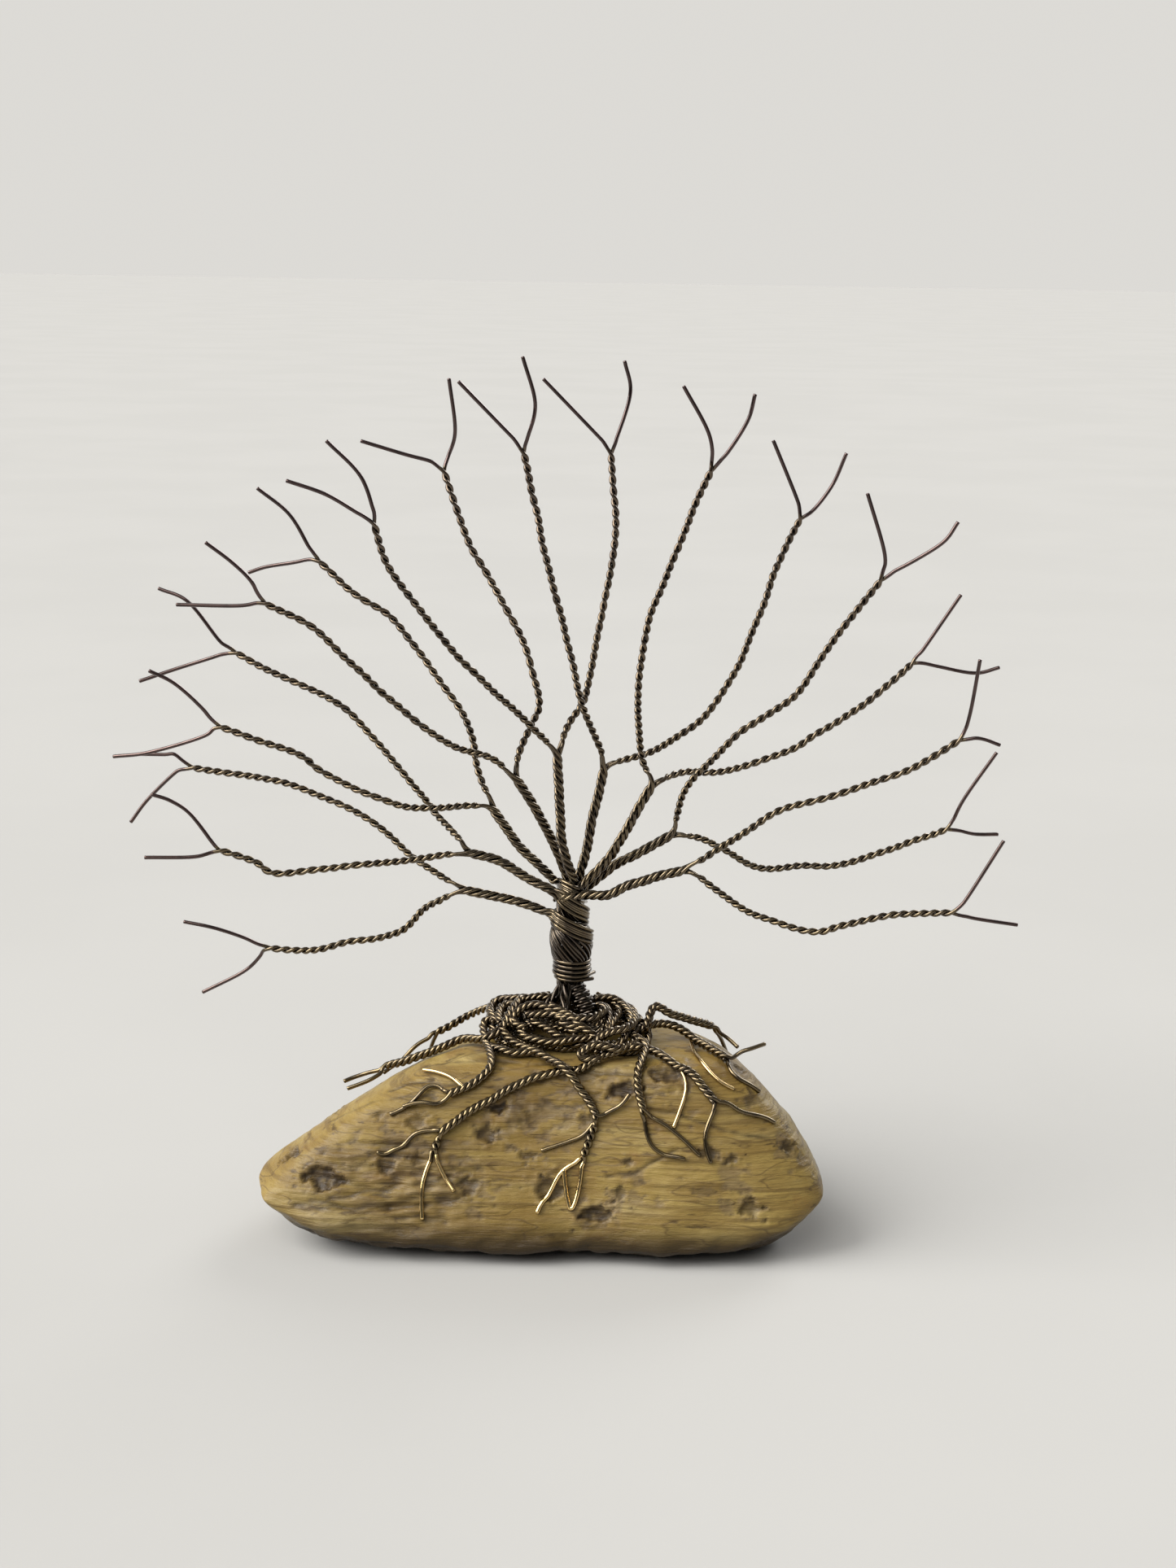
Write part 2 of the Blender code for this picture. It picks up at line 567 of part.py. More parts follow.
def root_fork(start, branch):
    """A root's child: a single wire, or a twisted pair that forks into two wires."""
    if isinstance(branch, tuple):
        route, first, second = branch
        path = on_stone([start] + route, PAIR / 2, ROOT_STEP)
        return (path, PAIR / 2, [root_fork(route[-1], first), root_fork(route[-1], second)])
    return (on_stone([start] + branch, WIRE / 2, ROOT_STEP), WIRE / 2, ())


def meet(tube):
    """Moves the first point of each child onto the end of its parent."""
    path, _, forks = tube
    for child in forks:
        child[0][0] = path[-1].copy()
        meet(child)


def make_roots():
    for name, (route, first, second) in ROOTS.items():
        path = on_stone(route, ROOT / 2, ROOT_STEP)
        tube = (path, ROOT / 2, [root_fork(route[-1], first), root_fork(route[-1], second)])
        meet(tube)
        make_tube(name, ROOT_SIDES, tube, "wire_brass")
    for name, route in SIDE_WIRES.items():
        make_tube(name, PAIR_SIDES, (on_stone(route, WIRE / 2, ROOT_STEP), WIRE / 2, ()),
                  "wire_brass")


def make_coils():
    for name, (x, y, half_width, half_depth, lift, first, turn) in COILS.items():
        count = turn // COIL_STEP_DEGREES
        path = []
        for k in range(count + 1):
            angle = math.radians(first + turn * k / count)
            across = x + half_width * math.cos(angle)
            deep = y + half_depth * math.sin(angle)
            path.append(above_stone(across, deep, COIL / 2 + STONE_GAP + lift))
        make_tube(name, PAIR_SIDES, (path, COIL / 2, ()), "wire_brass")


def main():
    remove_startup_objects()
    make_stone()
    make_trunk()
    make_bindings()
    make_limbs()
    make_branches()
    make_coils()
    make_roots()


main()
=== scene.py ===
"""The look of a small tree of twisted brass-coloured wire on a rough golden stone.

Every visible wire is a real strand: branches are twists of two, limbs of four, root ropes of two
or three. Tables are in millimetres, in the frame of the part: +Z up, -Y front, origin on the
resting face under the trunk. The routes follow the solids that each piece replaces.
"""

import math
import random

import bpy
import numpy as np
from mathutils import Matrix, Vector, noise
from mathutils.bvhtree import BVHTree


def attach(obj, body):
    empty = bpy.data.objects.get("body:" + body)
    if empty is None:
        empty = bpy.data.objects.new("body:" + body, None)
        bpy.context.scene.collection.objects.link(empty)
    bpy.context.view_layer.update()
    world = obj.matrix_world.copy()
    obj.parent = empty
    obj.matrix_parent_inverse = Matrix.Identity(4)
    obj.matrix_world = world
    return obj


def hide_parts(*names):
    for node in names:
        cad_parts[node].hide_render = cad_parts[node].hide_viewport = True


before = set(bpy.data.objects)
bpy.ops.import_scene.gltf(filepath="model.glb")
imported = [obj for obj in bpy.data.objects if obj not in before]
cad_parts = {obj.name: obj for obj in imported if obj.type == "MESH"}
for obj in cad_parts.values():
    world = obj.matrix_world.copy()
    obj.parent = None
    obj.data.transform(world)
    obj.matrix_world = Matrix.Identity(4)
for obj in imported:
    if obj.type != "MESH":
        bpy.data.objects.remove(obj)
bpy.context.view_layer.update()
random.seed(4)
# without this, noise_vector starts from the clock and each run differs a little
noise.seed_set(4)

MM = 0.001
WIRE_RADIUS = 0.16
ROOT_RADIUS = 0.18
SIDES = 9
TANGLE_SIDES = 8
STEP = 0.13

# twists: distance of a wire's centre from the rope's centre, and length of one turn
PAIR_OFFSET, PAIR_PITCH = 0.16, 1.7
LIMB_OFFSET, LIMB_PITCH = 0.265, 2.7
LIMB_SPREAD = math.radians(38)
ROOT_PAIR_PITCH = 1.3
ROPE_TWIST = {2: (0.18, 1.2), 3: (0.205, 1.68)}
# a root with more route points than this has three strands, any other has two
LONG_ROUTE = 6
# how far from a fork its new direction is measured, and how far the wires ease into it
LIMB_FORK, BRANCH_FORK, ROOT_FORK, LEAF_FORK = 1.6, 1.0, 0.9, 0.7
LIMB_EASE, BRANCH_EASE, TIP_EASE, ROOT_EASE, LEAF_EASE = 1.5, 1.7, 1.1, 0.8, 0.7
# a limb's piece goes on past its fork by this much, to where the branch's piece starts
STUB = 1.2
# the rope lines of the tangle lie this much above the stone, plus the height in the table
TANGLE_LIFT = 0.38

# filler down the middle of limbs and trunk, behind the strands: radius, step, sides
LIMB_CORE = 0.15, 0.3, 7
TRUNK_CORE = 0.7, 0.4, 16

# ---------- routes, in millimetres ----------

# Limbs from the trunk to the fork
LIMBS = {
    1: [(-2, -0.5, 26), (-4.5, -0.5, 27), (-7, -0.5, 27.5), (-9.5, -0.5, 28)],
    2: [(-1.5, -1, 28), (-3.5, -1, 29), (-6, -1, 30.5), (-9, -1.5, 31.5)],
    3: [(-1.5, 0.5, 28.5), (-3, 0.5, 30), (-4.5, 0.5, 31.5), (-7, 0.5, 35)],
    4: [(-0.5, 0.5, 29), (-2, 0, 32.5), (-3, -0.5, 34.5), (-5, -1, 38)],
    5: [(0, -0.5, 29), (-0.5, -1, 30.5), (-1, -1, 33), (-1.5, -1, 40)],
    6: [(0.5, 0.5, 29), (1, 0.5, 31), (1.5, 0.5, 34), (2.5, 0.5, 38.5)],
    7: [(1.2, -0.4, 29), (3, -0.5, 31), (4, -1, 33), (6.5, -1, 37.5)],
    8: [(1.5, 0.6, 28.3), (3.5, 0.5, 30), (5, 0, 31), (8.5, 0, 33)],
    9: [(1, -1, 27.8), (3, -1.5, 28), (5, -1.5, 29), (9.5, -2, 30.5)],
}

# How each limb's wires run before that, on and in the trunk
LIMB_ENTRIES = {
    1: [(1.5, 0.6, 23.8), (1.5, -0.75, 24.2), (0.3, -1.68, 24.9), (-1.05, -1.42, 25.55)],
    2: [(1, 0.9, 25.5), (1.25, -0.5, 25.9), (0.4, -1.42, 26.65), (-0.65, -1.42, 27.3)],
    3: [(1, 0.6, 27.3), (0.8, -0.6, 27.6), (0, -1.05, 28), (-0.9, -0.5, 28.3)],
    4: [(0.1, 0.6, 26.5), (-0.2, 0.6, 27.8)],
    5: [(-0.2, -0.2, 26.5), (-0.1, -0.4, 27.8)],
    6: [(0.2, 0.5, 26.5), (0.3, 0.6, 27.8)],
    7: [(-0.6, -0.6, 26.8), (0.3, -0.6, 27.9)],
    8: [(-0.5, 0.8, 26.9), (0.5, 0.9, 27.5)],
    9: [(-1.4, -0.2, 27.3), (-0.5, -1.2, 27.6)],
}
# these limbs' four wires lie side by side where they wrap the trunk
WRAPPING_LIMBS = (1, 2, 3)
SIDE_BY_SIDE = 0.33
WRAP_CENTRE_X = -0.3

# Branches: limb, route beyond the limb's fork, then the two single wires beyond the branch's end
BRANCHES = {
    1: (1, [(-11, -0.5, 27), (-12.5, 0, 26), (-14.5, 0, 24), (-18.5, 0.5, 23), (-22, 1, 22),
        (-26, 1.5, 22)], [(-27.5, 1, 23), (-30, 0.5, 24), (-32.5, 0.5, 24.5)], [(-26.5, 2, 21),
        (-28, 2.5, 19.5), (-31.5, 3, 17.5)]),
    2: (2, [(-12.5, -2, 31), (-18, -3, 30.5), (-22, -3, 30), (-24.5, -3.5, 30), (-26, -3.5, 31),
        (-29, -4, 32)], [(-29.5, -4, 33), (-31, -4, 35), (-32.5, -4, 36), (-34, -4, 36.5)],
        [(-30.5, -4.5, 31.5), (-34.5, -5, 31.5)]),
    3: (1, [(-11, 0, 29), (-13.5, 0.5, 30.5), (-16.5, 1, 33), (-19.5, 1.5, 34.5), (-24, 2.5, 36),
        (-28, 3.5, 36.5), (-32.5, 4, 37)], [(-33.5, 4, 38), (-34.5, 4, 38), (-36.5, 4, 38)],
        [(-33.5, 4, 36.5), (-36, 4.5, 34), (-37.5, 4.5, 32)]),
    4: (3, [(-9, 0, 35), (-11.5, -1, 35), (-15, -1.5, 35.5), (-20.5, -1.5, 38), (-22.5, -2, 39.5),
        (-29, -2.5, 42)], [(-30, -3, 43.5), (-32, -3.5, 45.5), (-34, -3.5, 46.5)],
        [(-30, -2.5, 41), (-34.5, -2, 39.5), (-37.5, -1.5, 39)]),
    5: (2, [(-9.5, -1, 32.5), (-11.5, 1, 34), (-13, 1, 36), (-18, 2, 41.5), (-20.5, 2, 43.5),
        (-24, 2.5, 45), (-28.5, 3, 47)], [(-29.5, 3, 48), (-32, 3.5, 51), (-34.5, 4, 52)],
        [(-30, 3, 46.5), (-33, 3, 45.5), (-36, 2.5, 44.5)]),
    6: (4, [(-7, -1.5, 39.5), (-10, -2, 40.5), (-13.5, -2.5, 43), (-17.5, -3.5, 47),
        (-20.5, -4, 50), (-25, -4.5, 52.5)], [(-25.5, -5, 54), (-27, -5, 55.5), (-29, -5, 57)],
        [(-26.5, -4.5, 52), (-31.5, -4.5, 52)]),
    7: (3, [(-8, 1, 38), (-8.5, 1, 40.5), (-9.5, 1, 43), (-11.5, 1.5, 45.5), (-15, 2, 50),
        (-18, 2, 52), (-21.5, 2.5, 55)], [(-22, 2.5, 56), (-23.5, 2.5, 58.5), (-26, 2.5, 60.5)],
        [(-23, 3, 54.5), (-25.5, 3.5, 54), (-27, 3.5, 53.5)]),
    8: (5, [(-3, -1.5, 41.5), (-5, -2, 43.5), (-9.5, -3, 48), (-12.5, -4, 52), (-15, -4.5, 55.5),
        (-16, -5, 59)], [(-16, -5, 60), (-17, -5, 62.5), (-19.5, -5, 65)], [(-17, -5.5, 59.5),
        (-19.5, -6, 61), (-22.5, -6, 62)]),
    9: (4, [(-4.5, -0.5, 40), (-3.5, 0, 42), (-3, 0, 43.5), (-3.5, 0, 46), (-5, 0.5, 50),
        (-8.5, 1, 56), (-10, 1, 60), (-11, 1.5, 62.5)], [(-12, 1.5, 63), (-14, 1.5, 63.5),
        (-17.5, 1.5, 64.5)], [(-10.5, 2, 63.5), (-10, 2, 65.5), (-10.5, 2, 69.5)]),
    10: (6, [(2, 0, 40), (0.5, -1, 44), (-1, -1, 50), (-2.5, -1.5, 55.5), (-3.5, -1.5, 60),
        (-4.5, -2, 64.5)], [(-6, -2, 66), (-9.5, -2, 69.5)], [(-4, -2.5, 65.5), (-3.5, -2.5, 68),
        (-4.5, -2.5, 71.5)]),
    11: (5, [(-0.5, 0, 42), (0.5, 0.5, 43.5), (1, 1, 45), (2, 2, 51), (3, 2.5, 57),
        (2.5, 3.5, 64)], [(1.5, 3.5, 65), (-3, 3.5, 69.5)], [(3, 3.5, 65), (4, 4, 68.5),
        (3.5, 4, 71)]),
    12: (7, [(5.5, -1, 39.5), (5, -1.5, 44.5), (5.5, -2, 50), (7, -2.5, 54.5), (8.5, -3, 58.5),
        (10.5, -3.5, 63.5)], [(10, -3.5, 66), (8, -3.5, 69.5)], [(11.5, -4, 64.5), (13, -4, 67),
        (13.5, -4, 69)]),
    13: (6, [(4.5, 1, 39), (7, 1, 40), (10.5, 1, 42.5), (13, 1.5, 46.5), (15, 1.5, 51.5),
        (16.5, 2, 56), (18, 2, 59)], [(17.5, 2, 60.5), (15.5, 2, 65)], [(19, 2.5, 59.5),
        (20.5, 3, 61.5), (21.5, 3, 64)]),
    14: (8, [(8.5, -0.5, 35), (9.5, -1, 37.5), (13.5, -2, 42), (17.5, -2.5, 45), (20, -3, 49),
        (24, -4, 55)], [(24, -4, 57), (22.5, -4, 61.5)], [(26.5, -4.5, 56.5), (28.5, -5, 58),
        (29.5, -5, 59.5)]),
    15: (7, [(9, 0.5, 38), (12, 1, 38), (17.5, 2, 39.5), (20, 2.5, 41), (24, 3, 43.5),
        (28, 4, 47)], [(29, 4, 48.5), (31.5, 4, 52.5)], [(30, 4, 46.5), (33, 4, 46),
        (35, 4, 46.5)]),
    16: (9, [(11.5, -2, 32), (14.5, -2, 34), (17, -1.5, 35.5), (22, -1.5, 37), (27.5, -1, 39),
        (31.5, -1, 41.5)], [(32, -1, 44), (32.5, -1, 48)], [(33, -1, 41.5), (34.5, -1, 41)]),
    17: (8, [(10.5, 0, 32.5), (12.5, 0, 31.5), (15.5, 0.5, 30), (19, 1, 30), (22, 1.5, 30),
        (27, 2, 31.5), (31.5, 3, 33)], [(32.5, 3, 35.5), (35, 3, 39.5)], [(33.5, 3, 32.5),
        (35.5, 3, 32.5)]),
    18: (9, [(11.5, -2.5, 29), (15, -3.5, 27), (19.5, -4.5, 26), (22, -4.5, 26.5),
        (26, -4.5, 27.5), (31, -5, 28)], [(32, -5, 29.5), (34.5, -5, 34)], [(32.5, -5, 27.5),
        (36, -5, 27)]),
}

# Root ropes: x, y and height above resting on the stone. Each is a rope and the two wires that it
# splits into. A tuple in place of the second is a twisted pair that splits again, into two wires
# that lost their brown coat and show gold.
ROOTS = {
    "root_01_left_back": ([(-4, 0, 2.5), (-5.3, 0.8, 2.4), (-6.3, 1.8, 2.1), (-7, 2.4, 1.9),
        (-8.5, 3, 1.9), (-11, 3, 1.5)], [(-12.5, 2.5, 1.5), (-14, 2, 0.9), (-15.5, 0.8, 0.6)],
        [(-12, 4.5, 0.8), (-13, 6.5, 0.2)]),
    "root_02_left": ([(-5.8, -2.8, 1.1), (-6.8, -3.4, 0.8), (-7.7, -2.8, 0.4), (-9, -1.8, 0.3),
        (-11, -2, 0.1), (-13.2, -1.6, 0.2), (-15.1, -1.1, 0.6)], [(-16.1, -0.7, 1.1),
        (-17.1, -0.7, 1.4), (-18.1, -1.1, 1.6)], [(-16.1, -2.1, 0.5), (-17.2, -2.5, 0.7),
        (-18, -2.8, 0.9)]),
    "root_03_left_front": ([(-6, -1.5, 1.7), (-7.2, -1.2, 1.4), (-7.2, -2.2, 0.8), (-7, -3.5, 0.3),
        (-6.6, -4.9, 0.1), (-6.4, -6, 0), (-6.7, -6.6, 0), (-7.5, -7.1, 0), (-8.6, -7.5, 0),
        (-9.9, -7.8, 0)], [(-10.7, -7.1, 0.1), (-11.6, -7.1, 0.2), (-12.3, -7.7, 0.2),
        (-13.3, -8.1, 0), (-14.5, -8.3, 0)], [(-10.2, -8.1, 0.1), (-10.9, -8.2, 0.2),
        (-12, -8, 0.35), (-13.4, -8.1, 0.3)]),
    "root_04_front_left": ([(0.2, -6.9, 0), (-0.7, -6.8, 0), (-2, -6.9, 0), (-3.5, -7.2, 0),
        (-5.8, -7.8, 0), (-7.3, -8.2, 0), (-9, -8.8, 0), (-10.4, -9.3, 0)], [(-11.4, -9.2, 0),
        (-12.6, -9.4, 0), (-14.3, -9.7, 0), (-15.5, -9.8, 0)], ([(-10.9, -9.9, 0)],
        [(-11.5, -10.5, 0), (-11.9, -11, 0), (-11.8, -11.4, 0), (-11.7, -11.8, 0)],
        [(-10.3, -10.5, 0), (-9.6, -10.9, 0), (-9.2, -11.3, 0)])),
    "root_05_front": ([(-5.6, -2.6, 1.3), (-5.2, -3.5, 0.8), (-4.3, -4.3, 0.4), (-3.3, -5, 0.3),
        (-2.3, -5.7, 0.3), (-1.5, -6.3, 0.4), (-0.5, -6.8, 0.7), (0.3, -7.2, 0.8),
        (0.8, -7.6, 0.4), (1.4, -8, 0), (1.9, -8.5, 0), (2.3, -9, 0)], [(3.3, -8.9, 0.1),
        (4.3, -8.9, 0.2), (5, -8.6, 0.3)], ([(1.5, -9.7, 0), (1.1, -10.1, 0)], [(0.3, -10.2, 0),
        (-0.9, -10.5, 0), (-1.9, -11, 0), (-2.5, -11.6, 0)], [(1, -10.6, 0), (0.8, -11, 0),
        (0.3, -11.5, 0), (-0.4, -11.9, 0)])),
    "root_06_front_right": ([(5, -4, 1.1), (5.9, -4.6, 0.8), (6.2, -5.6, 0.4), (5.8, -7, 0.1),
        (5.5, -8, 0), (5.6, -8.6, 0), (6, -9.3, 0)], [(6.2, -9.9, 0), (6.8, -10.3, 0),
        (8, -10.6, 0), (9.3, -10.8, 0)], [(6.7, -9.5, 0.1), (7.8, -9.8, 0.1), (9, -10.2, 0),
        (10.5, -10.7, 0)]),
    "root_07_right_front": ([(0.3, -6.9, 0), (1.3, -6.6, 0.1), (2.6, -6.2, 0.2), (3.9, -5.8, 0.3),
        (5.2, -5.5, 0.6), (6.5, -5.6, 0.3), (7.9, -6.8, 0), (9.2, -7.7, 0), (10.4, -8.4, 0),
        (11.8, -9.2, 0)], [(12.5, -9, 0.2), (13.8, -9.2, 0.1), (15.2, -9, 0), (16.5, -8.8, 0)],
        [(11.3, -9.7, 0), (10.8, -10.1, 0), (10.8, -10.4, 0), (11.4, -10.9, 0)]),
    "root_08_right": ([(5, -3.6, 1.4), (6, -2.7, 1.3), (7, -2.1, 1.3), (8, -1.9, 1.2),
        (8.9, -2, 0.9), (9.8, -2.6, 0.4), (10.5, -3.3, 0.1), (11.6, -4.8, 0), (12.8, -6, 0)],
        [(13.2, -5.4, 0.8), (13.8, -5.1, 1.6), (14.5, -4.9, 2.4)], [(12.9, -6.8, 0),
        (13.2, -7.3, 0), (14, -7.5, 0), (15.3, -7.3, 0)]),
    "root_09_right_back": ([(5.4, -3, 0.9), (6.3, -3.2, 1.3), (6.6, -2.9, 1.9), (6.8, -2.3, 2.5),
        (7.2, -2, 3), (7.7, -2, 2.6), (8.3, -2, 2.1), (9.4, -1.7, 1.6), (10.5, -1.3, 1.2),
        (11.5, -0.8, 0.9)], [(12.2, -0.8, 0.8), (12.9, -1.1, 0.7), (13.5, -1.6, 0.6)],
        [(12.2, 0.5, 0.5), (13.2, 2, 0)]),
    "root_10_back_right": ([(1.5, 3.6, 0.8), (2.4, 4.6, 0.2), (3.4, 5.4, 0), (4.5, 6.5, 0),
        (5, 8, 0)], [(6, 9.2, 0), (7, 10, 0)], [(4.2, 9.5, 0), (3.8, 10.6, 0)]),
    "root_11_back_left": ([(-1.5, 3.6, 0.8), (-2.4, 4.6, 0.2), (-3.1, 5.5, 0), (-3.7, 6.5, 0),
        (-5, 7.5, 0)], [(-6.5, 8.2, 0), (-8, 8.4, 0)], [(-5, 9, 0), (-4.5, 10.3, 0)]),
}

# Single wires that leave a root rope part-way
SIDE_WIRES = {
    "side_wire_03": [(-8.6, -7.5, 0.3), (-9.4, -6.9, 0.25), (-10.6, -6.2, 0.1), (-12, -5.5, 0.1)],
    "side_wire_05": [(2, -9, 0.1), (1.3, -9.3, 0.1), (-0.6, -9.5, 0), (-2.2, -9.7, 0)],
    "side_wire_07": [(9, -7.7, 0.1), (9.4, -8.3, 0), (9.4, -8.9, 0), (8.9, -9.4, 0),
        (8.4, -9.9, 0)],
    "side_wire_08": [(9.9, -2.6, 0.3), (10, -3.5, 0.1), (10.2, -5.3, 0), (10.8, -7, 0),
        (11.8, -8, 0), (13.2, -8.3, 0)],
}
GOLD_SIDE_WIRES = ("side_wire_03", "side_wire_07", "side_wire_08")

# The tangle round the trunk's foot, by the coil each rope belongs to: x, y, height above the stone
TANGLE = {
    "coil_01_outer_low": [[(-6.2, 1.2, 1.4), (-5.6, 0.4, 1.9), (-4.9, -0.3, 2), (-4.6, -1.4, 1.6),
        (-4.3, -2.8, 1.1), (-3.7, -3.9, 0.9), (-2.8, -4.4, 0.8), (-1.7, -4.7, 0.8),
        (-0.8, -4.9, 0.8), (0.2, -4.8, 1), (1.2, -4.7, 1.1), (2.1, -4.5, 1.2), (2.8, -3.8, 1.5),
        (3.4, -2.9, 1.9), (4, -1.7, 2.1), (3.8, -0.4, 2.4), (2.9, 0.4, 2.4)], [(5.3, -2.5, 1.9),
        (6, -2.3, 1.6), (6.5, -2.8, 0.9), (6.3, -3.8, 0.4), (5.7, -4.6, 0.1), (4.8, -5, 0),
        (3.5, -4.9, 0), (2, -5, 0)], [(-6.4, -2.2, 0.9), (-7.1, -2.9, 0.5), (-6.9, -3.8, 0.2),
        (-6, -4.6, 0.2), (-4.8, -5.1, 0.2), (-3.4, -5.2, 0.1), (-2.2, -4.9, 0.1)],
        [(6.2, -1.5, 0.3), (6.3, 0, 0), (5.9, 1.6, 0), (4.6, 3.1, 0), (2.6, 4.1, 0), (0, 4.5, 0),
        (-2.6, 4.1, 0), (-4.6, 3.1, 0), (-6, 1.4, 0), (-6.4, -0.5, 0), (-6, -2.2, 0.1),
        (-5.2, -3.6, 0)]],
    "coil_02_inner_low": [[(-3.2, -2.7, 1.8), (-2.3, -3.2, 1.5), (-1.5, -3.8, 1.2),
        (-0.6, -4.3, 0.8), (0.4, -4.6, 0.4), (1.6, -5, 0.2)], [(-3.4, -2.5, 0.3),
        (-2.2, -3.3, 0.2), (-0.8, -3.7, 0.3), (0.8, -3.7, 0.4), (2.2, -3.2, 0.5),
        (3.2, -2.3, 0.8)], [(-2.6, -1.6, 1.3), (-1.4, -2.4, 1.1), (0, -2.8, 1), (1.5, -2.6, 1.1),
        (2.6, -1.7, 1.4)], [(2.4, -6.5, 0.2), (1.4, -6.4, 0.4), (0.8, -6.3, 0.7), (1, -6.1, 1),
        (1.8, -5.9, 1.1), (2.6, -6, 1), (3.5, -6.1, 0.8), (4.5, -5.8, 0.7), (5.3, -4.9, 0.8),
        (5.6, -4, 1)], [(5, -1.2, 0), (5, 0.4, 0), (3.9, 2, 0), (2, 2.9, 0), (0, 3.1, 0),
        (-2, 2.9, 0), (-3.9, 2, 0), (-5, 0.4, 0), (-5, -1.6, 0), (-4, -3.1, 0), (-2.2, -4, 0),
        (0, -4.3, 0), (2.2, -4, 0), (4, -3, 0)]],
    "coil_03_outer_high": [[(1.9, -5.4, 0.9), (2.5, -5.3, 1.4), (3.3, -5.1, 1.7), (4.2, -4.9, 1.8),
        (5, -4, 1.9), (5.3, -2.7, 2), (5, -1, 2.2), (4.2, 0.2, 2.2)], [(2, 0.2, 2.8),
        (3, 0.2, 2.8), (4, -0.3, 2.7), (4.7, -1.2, 2.4), (4.9, -2.6, 2.1), (4.8, -3.7, 1.5),
        (4.4, -4.6, 0.9), (3.6, -5, 0.5)], [(-5.5, -2.9, 1.5), (-5, -2, 2.1), (-4.6, -1.3, 2.6),
        (-4.2, -0.7, 2.9), (-3.4, -0.4, 3), (-2.5, -0.5, 3.1), (-1.6, -0.4, 3)], [(5.6, 0.6, 0.9),
        (4.9, 2, 0.9), (3.4, 3, 0.9), (1.6, 3.6, 0.9), (-0.4, 3.7, 0.9), (-2.4, 3.3, 0.9),
        (-4.2, 2.4, 0.9), (-5.4, 1.2, 0.9), (-5.8, -0.4, 0.9), (-5.4, -1.9, 0.9)]],
    "coil_04_inner_high": [[(2.1, -1, 2.6), (2.8, -1.3, 2.6), (3.2, -2.2, 2.3), (3, -3.2, 1.8),
        (2.5, -3.9, 1.5), (1.7, -4.2, 1.5), (0.8, -4.2, 1.7), (-0.2, -4.1, 1.9),
        (-0.9, -3.8, 2.2)], [(-2, -2.4, 3), (-1.4, -2.5, 3.1), (-0.8, -2.9, 2.8),
        (-0.1, -3.6, 2.5), (0.6, -4.1, 2), (1.4, -4.5, 1.5), (2.3, -4.9, 0.9)], [(3.9, -0.2, 1.5),
        (3.6, 1.2, 1.6), (2.2, 2.2, 1.7), (0.4, 2.5, 1.8), (-1.6, 2.3, 1.7), (-3.2, 1.5, 1.6),
        (-4, 0.2, 1.5), (-4, -1.4, 1.2), (-3, -2.6, 1.1)]],
    "coil_05_left_loop": [[(-6.3, -2.4, 0.8), (-6.7, -1.4, 1), (-6.7, -0.2, 1.3), (-6.2, 0.6, 1.8),
        (-5.2, 0.9, 2.1), (-4, 0.6, 2.4)], [(-5.6, -2.2, 1.6), (-5.9, -1.2, 2), (-5.6, -0.2, 2.3),
        (-4.9, -0.1, 2.5), (-4.4, -0.9, 2.4), (-4.6, -1.9, 2), (-4.4, -2.9, 1.6),
        (-3.6, -3.4, 1.5)], [(-6.1, -1.9, 1.5), (-6.6, -0.8, 1.9), (-6.4, 0.5, 2.2),
        (-5.7, 0.8, 2.6), (-4.7, 0.4, 2.8), (-3.6, -0.3, 2.9)], [(-4.9, -2.7, 1.4),
        (-4.5, -2.2, 2.2), (-3.8, -1.9, 2.7), (-2.9, -2, 2.9), (-2, -2.6, 2.7), (-1.2, -3.3, 2.4),
        (-0.3, -3.9, 1.9), (0.5, -4.3, 1.3)], [(-5.9, -2.4, 1), (-5.6, -1.2, 1.2),
        (-5.4, 0.4, 1.4), (-4.4, 1.3, 1.9), (-3, 1.4, 2.4), (-1.9, 0.9, 2.8)]],
    "coil_06_right_loop": [[(-3.5, -2.4, 2.2), (-2.6, -2.7, 2.4), (-1.6, -2.9, 2.4),
        (-0.6, -3.4, 2.3), (0.4, -3.9, 2.3), (1.4, -3.9, 2.4), (2.2, -3.4, 2.5), (2.7, -2.5, 2.7),
        (2.4, -1.7, 2.8)], [(4.9, -3.4, 1.2), (5.6, -2, 1.2), (5.6, -0.4, 1.3), (4.8, 0.9, 1.6),
        (3.6, 1.5, 2.1), (2.2, 1.3, 2.6)], [(-5.2, 0.2, 1), (-4.6, 1.6, 1.2), (-3.2, 2.6, 1.1),
        (-1.4, 3.2, 1.3), (0.6, 3.3, 1.4), (2.6, 2.9, 1.2), (4.2, 1.8, 1.2), (5, 0.2, 1.2)],
        [(-5.4, 1.6, 0.5), (-4, 2.9, 0.4), (-2.2, 3.6, 0.4), (0, 3.9, 0.5), (2.2, 3.6, 0.4),
        (4.4, 2.7, 0.4), (5.6, 1, 0.5)], [(-4.2, 0.6, 1.8), (-3.2, 1.8, 1.9), (-1.6, 2.5, 1.8),
        (0.2, 2.6, 2), (2, 2.3, 1.8), (3.4, 1.2, 1.8), (4, 0, 1.8)], [(-3.8, 3.7, 0.3),
        (-2.6, 3, 1), (-1.2, 2.2, 1.7), (0.4, 1.8, 2), (1.8, 1.2, 2.1), (2.8, 0.2, 2.2)],
        [(4, 3.2, 0.3), (2.8, 2.4, 1.2), (1.4, 1.8, 1.9), (-0.2, 1.7, 2.2), (-1.8, 1.2, 2.2),
        (-2.9, 0.4, 2.2)], [(-4.8, -0.6, 0.5), (-3.8, 1, 0.4), (-2, 1.9, 0.3), (0, 2.2, 0.3),
        (2, 1.9, 0.3), (3.8, 1, 0.4), (4.8, -0.8, 0.5)]],
}

